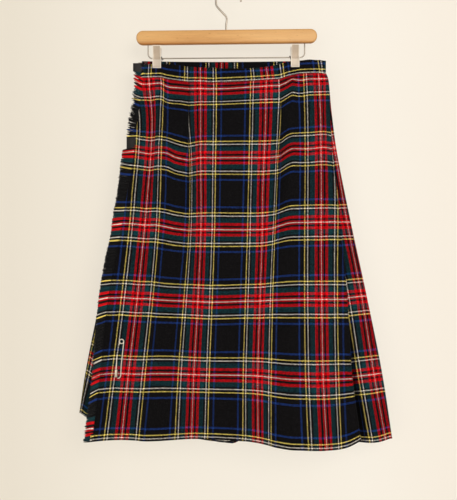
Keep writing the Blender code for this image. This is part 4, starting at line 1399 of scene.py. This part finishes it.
def fringe_yarns(first_run, last_run, chance):
    """Each yarn as rings along it, and its weft thread."""
    loose_runs = [row.run for row in FRINGE]
    made, counts = [], []
    run = first_run
    tuft_left = 0
    while run < last_run:
        if tuft_left <= 0:
            tuft_left = int(chance.integers(6, 14))
            tuft_run = run + tuft_left * WEFT * 0.28
            gather = chance.uniform(0.5, 1.0)
            longer = chance.uniform(-1.4, 1.6)
            lower = chance.normal(0, 0.35)
        tuft_left -= 1
        loose = Loose(*smooth(loose_runs, FRINGE, [run])[0])
        tips, tip_depth = (at_run(table, run).tips for table in (FRONT_ACROSS, FRONT_DEPTH))
        edges, heights, _ = grain_at(run)
        x0, z0 = edges[0] + 0.5, heights[0]
        y0 = front_depth_at(run, x0, z0)
        scatter = loose.scatter
        x1 = tips - loose.past + longer * min(scatter, 1.5) + chance.normal(0, 0.4 + 0.5 * scatter)
        z1 = z0 - loose.drop + (lower + chance.normal(0, 0.45)) * scatter
        y1 = between(y0, tip_depth, 0.8) + chance.normal(0, 1.5) * scatter - 0.4
        bow = chance.normal(0, 0.4) * scatter
        gathered = (tuft_run - run) * gather * min(scatter / TUFT_SCATTER, 1) ** 2
        lift = chance.normal(0, 0.8)
        x = between(x0, x1, YARN_SHARES)
        z = between(z0, z1, YARN_SHARES**1.15) + bow * YARN_ARCH - gathered * YARN_SHARES**3
        y = between(y0 + 0.1, y1, YARN_SHARES) + lift * YARN_ARCH
        made.append(tube_points(placed(x, y, z) / MM, YARN_RADII, YARN_SIDES))
        counts.append((run + STRIP_SHIFT if run > STRIP_RUN else run) / WEFT)
        run += WEFT * chance.uniform(0.45, 0.65)
    return np.array(made), np.array(counts)


def band_stray(chance):
    """Where a frayed end of the waistband starts, how far it reaches and drops, and its weft thread."""
    height = chance.uniform(-172, -143)
    reach, drop = chance.uniform(2.0, 6.0), chance.normal(0.6, 1.2)
    return (-169.6, BAND_PINCHED - BAND / 2, height), reach, drop, BAND_WEFT + (height + 174) / WEFT


def hem_stray(chance):
    """The same for a yarn that sticks out at the hem's corner."""
    run = chance.uniform(688, HEM_RUN)
    edges, heights, _ = grain_at(run)
    across, height = edges[0] + 2.5, heights[0]
    depth = front_depth_at(run, across, height) - CLOTH
    reach, drop = chance.uniform(3.5, 8.5), chance.normal(1.0, 2.0)
    return (across, depth, height), reach, drop, run / WEFT


def stray_yarns(stray, count, chance):
    made, counts = [], []
    for _ in range(count):
        (x0, y0, z0), reach, drop, thread = stray(chance)
        x = x0 - reach * YARN_SHARES
        z = z0 - drop * YARN_SHARES**2 + chance.normal(0, 0.5) * YARN_ARCH
        y = y0 - 0.5 - chance.uniform(0, 1.2) * YARN_ARCH
        made.append(tube_points(placed(x, y, z) / MM, STRAY_RADII, YARN_SIDES))
        counts.append(thread)
    return np.array(made), np.array(counts)


def add_fringe(name, first_run, last_run, seed, stray, stray_count):
    chance = np.random.default_rng(seed)
    pairs = zip(fringe_yarns(first_run, last_run, chance), stray_yarns(stray, stray_count, chance))
    rings, threads = (np.concatenate(pair) for pair in pairs)
    one, ring, side = ring_mesh("one_yarn", len(YARN_SHARES), YARN_SIDES, False)
    shape = bmesh.new()
    for _ in range(len(rings)):
        shape.from_mesh(one)
    bpy.data.meshes.remove(one)
    mesh = new_mesh(f"{name}_yarns", shape)
    places = rings[:, ring, side] * MM
    mesh.vertices.foreach_set("co", np.ascontiguousarray(places).ravel())
    counts = np.zeros(places.shape)
    counts[..., 1] = threads[:, None]
    write_threads(mesh, counts)
    mesh.update()
    return add_piece(facing_out(mesh), YARN, "fringe_yarn", name)


# ---- Straps and pin -----------------------------------------------------------------------------

Strap = namedtuple(
    "Strap", "name height width leftmost starts turn_y seat bar_x tip_x chape slope past_edge"
)
UPPER_STRAP = Strap("upper", -153.6, 16.4, -190, (-171.4,), -2.7, 6.6, -166, -154, 12, 0.17, 0.6)
LOWER_STRAP = Strap("lower", -306.0, 28, -203, (-162, -171, -180, -188), -2.6, 19.0, -154, -116, 18, 0, 2.0)
STRAP_TURN_STEPS = 18
# How much of its width the strap keeps at its tip and just before it.
TIP_WIDTHS = (0.55, 0.92)
STITCH_STEP = 3.4
STITCH = (2.1, 0.5, 0.55)
STITCH_FROM_EDGE = 2.0
BUCKLE_LENGTH = 15.0
BUCKLE_WIRE = 0.9
BUCKLE_CORNER = 2.2
PRONG_WIRE = 0.62


def apron_depth_at(across, height):
    """The over-apron's depth at a place seen from in front."""
    runs = np.linspace(BAND_RUN, HEM_RUN, 200)
    levels = smooth(GRAIN_RUNS, GRAIN_HEIGHT[:, LINE_NAMES.index("red1")], runs)
    return front_depth_at(float(np.interp(-height, -levels, runs)), across, height)


def strap_plan(strap):
    """The strap's middle line in plan: out from its seam, round the side and back through the buckle."""
    bar = strap.bar_x
    run_back = strap.seat + SEAM + LEATHER / 2
    over_chape = strap.seat + 2 * CHAPE + 2 * BUCKLE_WIRE + 4 * SEAM + LEATHER / 2 + 0.2
    radius = (run_back - strap.turn_y) / 2
    behind = CLOTH / 2 + 2 * SEAM + LEATHER / 2
    if len(strap.starts) == 1:
        plan = [(strap.starts[0], strap.turn_y)]
    else:
        plan = [(x, apron_depth_at(x, strap.height) + behind) for x in strap.starts]
    plan += arc((strap.leftmost + radius, strap.turn_y + radius), radius, 270, 90, STRAP_TURN_STEPS)
    for from_bar, climb in ((1.5 - BUCKLE_LENGTH, 0), (-11.2, 0.18), (-8.0, 0.45), (-4.9, 0.72)):
        plan.append((bar + from_bar, between(run_back, over_chape, climb)))
    past_bar = bar + 4.0
    level = (bar - 1.5, past_bar, between(past_bar, strap.tip_x, 0.5), strap.tip_x - 3.0, strap.tip_x)
    return plan + [(x, over_chape) for x in level]


def strap_level(strap, number, x):
    """The strap's middle height: in front it slopes down from its turn, which is its leftmost place."""
    in_front = number < len(strap.starts) + STRAP_TURN_STEPS // 2
    return strap.height - (x - strap.leftmost) * strap.slope * in_front


def add_strap(strap):
    plan = strap_plan(strap)
    half = strap.width / 2
    widths = [1] * (len(plan) - 2) + list(reversed(TIP_WIDTHS))
    rows = []
    for share in (1, 0.9, 0.6, 0.3, 0, -0.3, -0.6, -0.9, -1):
        row = []
        for number, ((x, y), wide) in enumerate(zip(plan, widths)):
            row.append(placed(x, y, strap_level(strap, number, x) + half * share * wide))
        rows.append(row)
    mesh = sheet_mesh(f"strap_{strap.name}_leather", np.array(rows))
    piece = add_piece(mesh, STRAP, "strap_leather", f"strap_{strap.name}")
    softened(walled(piece, LEATHER - 0.1), 0.45)
    add_stitches(strap, plan)
    add_buckle(strap)


def add_stitches(strap, plan):
    """A row of stitches along both edges of the strap, on the side that faces out."""
    line = [placed(x, y, strap_level(strap, number, x)) for number, (x, y) in enumerate(plan)]
    line = np.array(line) / MM
    along = lengths_along(line)
    shapes = []
    edge = strap.width / 2 - STITCH_FROM_EDGE
    for start in np.arange(3.0, along[-1] - 5, STITCH_STEP):
        ends = [
            np.array([np.interp(place, along, line[:, i]) for i in range(3)])
            for place in (start, start + STITCH[0])
        ]
        way = ends[1] - ends[0]
        out = np.cross(way, (0, 0, 1.0))
        out /= np.linalg.norm(out)
        middle = (ends[0] + ends[1]) / 2 + out * (LEATHER / 2 - 0.05)
        turn = Matrix.Rotation(atan2(way[1], way[0]), 4, "Z")
        for side in (edge, -edge):
            shape = box_shape(np.linalg.norm(way), *STITCH[1:])
            centre = Vector(middle + np.array([0, 0, side])) * MM
            bmesh.ops.transform(shape, matrix=Matrix.Translation(centre) @ turn, verts=shape.verts)
            shapes.append(shape)
    add_piece(joined(f"strap_{strap.name}_stitches", shapes), THREAD, "strap_leather")


def add_buckle(strap):
    """The leather chape round the buckle's bar, the wire frame and the prong."""
    clear = BUCKLE_WIRE + SEAM + CHAPE / 2
    bar_y = strap.seat + SEAM + CHAPE / 2 + clear
    legs = (strap.chape, 8, 4)
    plan = [(strap.bar_x + leg, bar_y - clear) for leg in legs]
    plan += arc((strap.bar_x, bar_y), clear, 270, 90, 14)
    plan += [(strap.bar_x + leg, bar_y + clear) for leg in reversed(legs)]
    half = strap.width / 2 - 1.5
    rows = [[placed(x, y, strap.height + half * share) for x, y in plan] for share in (1, 0.5, 0, -0.5, -1)]
    mesh = sheet_mesh(f"chape_{strap.name}_leather", np.array(rows))
    piece = add_piece(mesh, STRAP, "strap_leather", f"chape_{strap.name}")
    softened(walled(piece, CHAPE), 0.3)
    outer_y = strap.seat + SEAM * 2 + LEATHER + BUCKLE_WIRE
    outer_x = strap.bar_x - BUCKLE_LENGTH
    corner_z = strap.width / 2 + strap.past_edge - BUCKLE_CORNER
    loop = []
    for centre_x, centre_z, start in (
        (strap.bar_x - BUCKLE_CORNER, corner_z, 90),
        (strap.bar_x - BUCKLE_CORNER, -corner_z, 0),
        (outer_x + BUCKLE_CORNER, -corner_z, -90),
        (outer_x + BUCKLE_CORNER, corner_z, -180),
    ):
        for x, z in arc((centre_x, centre_z), BUCKLE_CORNER, start, start - 90, 6):
            lean = (strap.bar_x - x) / BUCKLE_LENGTH
            loop.append(placed(x, between(bar_y, outer_y, lean), strap.height + z) / MM)
    mesh = tube_mesh(f"buckle_{strap.name}_wire", loop, BUCKLE_WIRE, 10, closed=True)
    add_piece(mesh, NICKEL, "nickel_wire", f"buckle_{strap.name}")
    root = placed(strap.bar_x - clear - CHAPE / 2 - 0.9, bar_y, strap.height) / MM
    rest = placed(outer_x - 1.2, outer_y + BUCKLE_WIRE + SEAM + 0.7, strap.height) / MM
    prong = [between(root, rest, share) for share in (0, 0.3, 0.6, 0.9, 1)]
    mesh = tube_mesh(f"prong_{strap.name}_wire", prong, PRONG_WIRE, 8, rounded_ends=True)
    add_piece(mesh, NICKEL, "nickel_wire", f"prong_{strap.name}")


PIN_WIRE = 2.2
PIN_COIL = (-213.8, -701.8)
PIN_COIL_RADIUS = 4.3
PIN_CLASP = (5.6, 3.4, 15.5)
PIN_CLASP_PLACE = (-224.9, -765.6)


def add_kilt_pin():
    """The pin's wire, from the clasp in and out of the cloth, round its coil and back, and the clasp."""
    front = CLOTH / 2 + SEAM + PIN_WIRE / 2 + 0.2
    last = front + PIN_WIRE + SEAM
    route = [
        (-224.3, -757.2, front),
        (-223.9, -748.0, front),
        (-223.6, -739.0, front),
        (-223.2, -732.0, front),
        (-222.0, -725.5, -front),
        (-219.9, -718.0, -front),
        (-218.7, -709.5, -0.4),
    ]
    coil = arc(PIN_COIL, PIN_COIL_RADIUS, 200, -365, 40)
    route += [(x, z, between(front, last, step / 40)) for step, (x, z) in enumerate(coil)]
    route += [
        (-210.2, -708.5, last),
        (-211.8, -724.0, last - 1.0),
        (-214.6, -749.0, front + 0.4),
        (-215.4, -767.0, front),
        (-215.8, -770.4, front),
        (-216.9, -773.2, front),
        (-219.2, -775.4, front),
        (-221.4, -775.4, front),
    ]
    path = [placed(x, apron_depth_at(x, z) - ahead, z) / MM for x, z, ahead in route]
    wire = tube_mesh("kilt_pin_wire", path, PIN_WIRE / 2 - 0.2, 10, rounded_ends=True)
    add_piece(wire, PIN_METAL, "nickel_wire", "kilt_pin")
    x, z = PIN_CLASP_PLACE
    depth = apron_depth_at(x, z) - CLOTH / 2 - 2 * SEAM - PIN_CLASP[1] / 2
    clasp = box_shape(*PIN_CLASP)
    bevel_edges(clasp, clasp.edges[:], 1.6, 5)
    bmesh.ops.translate(clasp, vec=placed(x, depth, z), verts=clasp.verts)
    add_piece(new_mesh("kilt_pin_cap", clasp), NICKEL, "nickel_wire", "kilt_pin_clasp")


# ---- The hanger ---------------------------------------------------------------------------------

BAR_CORNER = 13.2
BAR_ROUNDING = 4.0
HOOK_STEM = (
    (-4.8, -90.8),
    (-4.8, -80.0),
    (-4.8, -70.0),
    (-4.4, -66.0),
    (-3.6, -62.0),
    (-3.2, -57.0),
    (-4.2, -53.6),
    (-6.0, -50.8),
    (-11.0, -45.6),
    (-17.2, -39.0),
)
HOOK_RADIUS = 25.0
HOOK_CENTRE = (0.0, -23.1)
HOOK_WIRE = 1.9
# The rod's legs come down from this far above the bar's lower face, straight past ROD_STRAIGHT.
ROD_SUNK = 11.0
ROD_STRAIGHT = -112.0
ROD_WIRE = 1.2
ROD_LEFT = -160.6
ROD_RIGHT = 152.2
ROD_LEVEL_LEFT = -136.2
ROD_LEVEL_RIGHT = -134.0
ROD_CORNER = 9.0
CLIP_WIDTH = 17.0
Clip = namedtuple("Clip", "name across top bottom spring_shift")
CLIPS = (Clip("left", -143.0, -112.2, -156.5, 2.4), Clip("right", 133.0, -109.6, -154.5, -1.6))
CLIP_SHEET = 0.9
# Stations across a clip's plate, as shares of half its width, and the share past which it is rim; how
# proud of the plate the rim stands, and the jaw below the rod.
CLIP_SHARES = (-1, -0.93, -0.87, -0.8, -0.4, 0, 0.4, 0.8, 0.87, 0.93, 1)
CLIP_RIM_FROM = 0.85
CLIP_RIM = 0.35
CLIP_JAW = 0.15
SPRING_RADIUS = 3.2
SPRING_WIRE = 1.2
SPRING_TURNS = 5
SPRING_PITCH = 3.9
SPRING_STEPS = 20


def add_bar():
    shape = box_shape(BAR_LENGTH, BAR_DEPTH, BAR_HEIGHT)
    ends = [e for e in shape.edges if abs(e.verts[0].co.y - e.verts[1].co.y) > BAR_DEPTH / 2 * MM]
    bevel_edges(shape, ends, BAR_CORNER, 16)
    rims = [e for e in shape.edges if abs(e.verts[0].co.y - e.verts[1].co.y) < MM]
    rims = [e for e in rims if len(e.link_faces) == 2 and e.calc_face_angle() > radians(40)]
    bevel_edges(shape, rims, BAR_ROUNDING, 7)
    tilt = Matrix.Rotation(-BAR_TILT, 4, "Y")
    centre = Matrix.Translation(Vector((BAR_CENTRE[0], 0, BAR_CENTRE[1])) * MM)
    bmesh.ops.transform(shape, matrix=centre @ tilt, verts=shape.verts)
    mesh = new_mesh("hanger_bar_wood", shape)
    mesh.set_sharp_from_angle(angle=radians(50))
    add_piece(mesh, BEECH, "beech_wood", "hanger_bar")


def rod_level(across):
    share = (across - ROD_LEFT) / (ROD_RIGHT - ROD_LEFT)
    return between(ROD_LEVEL_LEFT, ROD_LEVEL_RIGHT, share)


def add_hook_and_rod():
    hook = [(x, 0, z) for x, z in list(HOOK_STEM) + arc(HOOK_CENTRE, HOOK_RADIUS, 200, 5, 56)]
    mesh = tube_mesh("hanger_hook_wire", hook, HOOK_WIRE, 14, rounded_ends=True)
    add_piece(mesh, NICKEL, "nickel_wire", "hanger_hook")
    left_end, right_end = (
        (x, BAR_CENTRE[1] + (x - BAR_CENTRE[0]) * sin(BAR_TILT) - BAR_HEIGHT / 2 + ROD_SUNK)
        for x in (ROD_LEFT, ROD_RIGHT)
    )
    left, right = ROD_LEFT + ROD_CORNER, ROD_RIGHT - ROD_CORNER
    rod = [left_end, (ROD_LEFT, ROD_STRAIGHT)]
    rod += arc((left, ROD_LEVEL_LEFT + ROD_CORNER), ROD_CORNER, 180, 270, 12)
    for share in (0.02, 0.25, 0.5, 0.75, 0.98):
        rod.append((between(left, right, share), between(ROD_LEVEL_LEFT, ROD_LEVEL_RIGHT, share)))
    rod += arc((right, ROD_LEVEL_RIGHT + ROD_CORNER), ROD_CORNER, 270, 360, 12)
    rod += [(ROD_RIGHT, ROD_STRAIGHT), right_end]
    mesh = tube_mesh("hanger_rod_wire", [(x, 0, z) for x, z in rod], ROD_WIRE)
    add_piece(mesh, ROD_METAL, "nickel_wire", "hanger_rod")


def add_clip_plate(clip, side, way, face):
    """One jaw's plate: way is -1 in front and 1 behind, and face is how far the band's side is."""
    rod_z = rod_level(clip.across)
    grip = face + SEAM + CLIP_SHEET / 2
    pivot = SPRING_RADIUS + SPRING_WIRE / 2 + SEAM + CLIP_SHEET / 2
    profile = [
        (clip.top, pivot + 5.6),
        (clip.top - 3, pivot + 5.0),
        (rod_z + 10, pivot + 1.4),
        (rod_z + 3.5, pivot),
        (rod_z - 2.0, pivot),
        (rod_z - 4.2, grip),
        (clip.bottom + 2.5, grip),
        (clip.bottom, grip + 0.8),
    ]
    rows = []
    for z, y in rounded_line(profile, 2):
        half = CLIP_WIDTH / 2 * (0.94 if z > rod_z + 2 else 1.0)
        inner = CLIP_JAW if z < rod_z - 3 else 0.0
        at_end = z < clip.bottom + 2.2 or z > clip.top - 1.6
        row = []
        for share in CLIP_SHARES[::-way]:
            proud = CLIP_RIM if abs(share) > CLIP_RIM_FROM or at_end else inner
            row.append((clip.across + half * share, way * (y + proud), z, proud / CLIP_RIM))
        rows.append(row)
    points = np.array(rows)
    mesh = sheet_mesh(f"clip_{clip.name}_{side}_plate", points[..., :3] * MM)
    write_rim(mesh, points[..., :3] * MM, points[..., 3])
    piece = add_piece(mesh, PLATE, "nickel_wire", f"clip_{clip.name}_{side}")
    softened(walled(piece, CLIP_SHEET), 0.25)


def add_clip(clip):
    add_clip_plate(clip, "front", -1, BAND / 2 - BAND_PINCHED)
    add_clip_plate(clip, "back", 1, BACK[0].side + BAND / 2)
    coil = []
    for step in range(SPRING_TURNS * SPRING_STEPS + 1):
        angle = tau * step / SPRING_STEPS
        x = clip.across + clip.spring_shift + SPRING_PITCH * (step / SPRING_STEPS - SPRING_TURNS / 2)
        coil.append((x, SPRING_RADIUS * cos(angle), rod_level(clip.across) + SPRING_RADIUS * sin(angle)))
    mesh = tube_mesh(f"clip_{clip.name}_spring_wire", coil, SPRING_WIRE / 2, 8, rounded_ends=True)
    add_piece(mesh, SPRING, "spring_steel", f"clip_{clip.name}_spring")


# ---- The room -----------------------------------------------------------------------------------


def wall_glow_painted_light():
    """A pale wall that glows though it is no lamp, painted light that is darker to the left and lighter to
    the right where the key light stands; it is clear where it is seen from behind.
    """
    nodes = Nodes("wall_glow_painted_light")
    share = nodes.maths("MULTIPLY_ADD", nodes.parts(nodes.place())[0], 1.0, 0.5)
    # Painted light: colour and glow grow lighter from left to right, as the key light from the right would
    # leave the wall.
    stops = [(0.05, linear(238, 229, 212)), (0.28, linear(247, 239, 224)), (0.78, linear(252, 245, 232))]
    colour = nodes.ramp(share, stops + [(0.97, linear(250, 241, 227))])
    quarter = nodes.mix(1.0, colour, (0.27, 0.27, 0.27, 1.0), "MULTIPLY")
    # Painted light: the wall glows, which lifts the shadows that the kilt and the bar cast on it.
    glow = {"Emission_Color": colour, "Emission_Strength": 0.74}
    paint = nodes.finish(Base_Color=quarter, Roughness=0.9, Specular_IOR_Level=0.0, **glow)
    clear = nodes.add("ShaderNodeBsdfTransparent").outputs[0]
    turned = nodes.add("ShaderNodeNewGeometry").outputs["Backfacing"]
    choice = nodes.add("ShaderNodeMixShader", {0: turned, 1: nodes.shader.outputs[0], 2: clear})
    nodes.put(nodes.tree.nodes["Material Output"].inputs[0], choice.outputs[0])
    return paint


def staged(name, half_size, turn, place, paint):
    """A flat part of the room, in metres."""
    shape = bmesh.new()
    bmesh.ops.create_grid(shape, x_segments=2, y_segments=2, size=1)
    bmesh.ops.scale(shape, vec=(*half_size, 1), verts=shape.verts)
    bmesh.ops.rotate(shape, matrix=Matrix.Rotation(turn, 3, "X"), verts=shape.verts)
    bmesh.ops.translate(shape, vec=place, verts=shape.verts)
    mesh = new_mesh(name, shape, smoothly=False)
    mesh.materials.append(paint)
    obj = bpy.data.objects.new(name, mesh)
    bpy.context.scene.collection.objects.link(obj)
    return obj


def add_room():
    """A pale wall close behind and a pale floor well below."""
    backdrop = staged("wall", (3.0, 1.6), radians(90), (0, 0.062, 0.3), wall_glow_painted_light())
    floor = staged("floor", (4, 4), 0.0, (0, 0, -1.3), plain("floor_paint", (236, 228, 214), 0.8))
    backdrop.visible_shadow = False
    backdrop.visible_diffuse = False
    backdrop.visible_glossy = False


LIGHT_TARGET = Vector((0, 0, -0.5))
# Each light's place, the side of its square, its power and its colour.
LIGHTS = {
    "key": ((0.9, -2.4, 0.1), 1.4, 31.0, (1.0, 0.965, 0.92)),
    "fill": ((-1.1, -2.3, -0.6), 1.8, 15.0, (1.0, 0.975, 0.94)),
    "back": ((0.4, 2.2, 0.4), 1.6, 16.0, (1.0, 0.98, 0.95)),
}
SENSOR = 36.0


def add_lights():
    scene = bpy.context.scene
    scene.world = bpy.data.worlds.new("studio")
    scene.world.use_nodes = True
    sky = scene.world.node_tree.nodes["Background"]
    sky.inputs[0].default_value = (1.0, 0.97, 0.925, 1.0)
    sky.inputs[1].default_value = 0.3
    for name, (place, size, power, colour) in LIGHTS.items():
        data = bpy.data.lights.new(name, "AREA")
        data.size = size
        data.energy = power
        data.color = colour
        light = bpy.data.objects.new(name, data)
        light.location = place
        light.rotation_euler = (LIGHT_TARGET - Vector(place)).to_track_quat("-Z", "Y").to_euler()
        scene.collection.objects.link(light)


def add_camera():
    """An upright camera at the eye, whose frame is one metre wide on the hanger's plane."""
    data = bpy.data.cameras.new("camera")
    data.sensor_width = SENSOR
    data.lens = SENSOR * EYE_DISTANCE * MM
    data.clip_start = 0.05
    camera = bpy.data.objects.new("camera", data)
    camera.location = (0, -EYE_DISTANCE * MM, EYE_HEIGHT * MM)
    camera.rotation_euler = (radians(90), 0, 0)
    scene = bpy.context.scene
    scene.collection.objects.link(camera)
    scene.camera = camera
    scene.view_settings.view_transform = "Standard"


# ---- Everything ---------------------------------------------------------------------------------


def build():
    apron = add_over_apron()
    back = add_back()
    band = add_waistband()
    fringe = [
        add_fringe("fringe_upper", -22.5, 114, 8, band_stray, BAND_STRAYS),
        add_fringe("fringe_lower", 137, HEM_RUN, 5, hem_stray, HEM_STRAYS),
    ]
    add_strap(UPPER_STRAP)
    add_strap(LOWER_STRAP)
    add_kilt_pin()
    add_bar()
    add_hook_and_rod()
    for clip in CLIPS:
        add_clip(clip)
    add_room()
    add_lights()
    add_camera()


build()
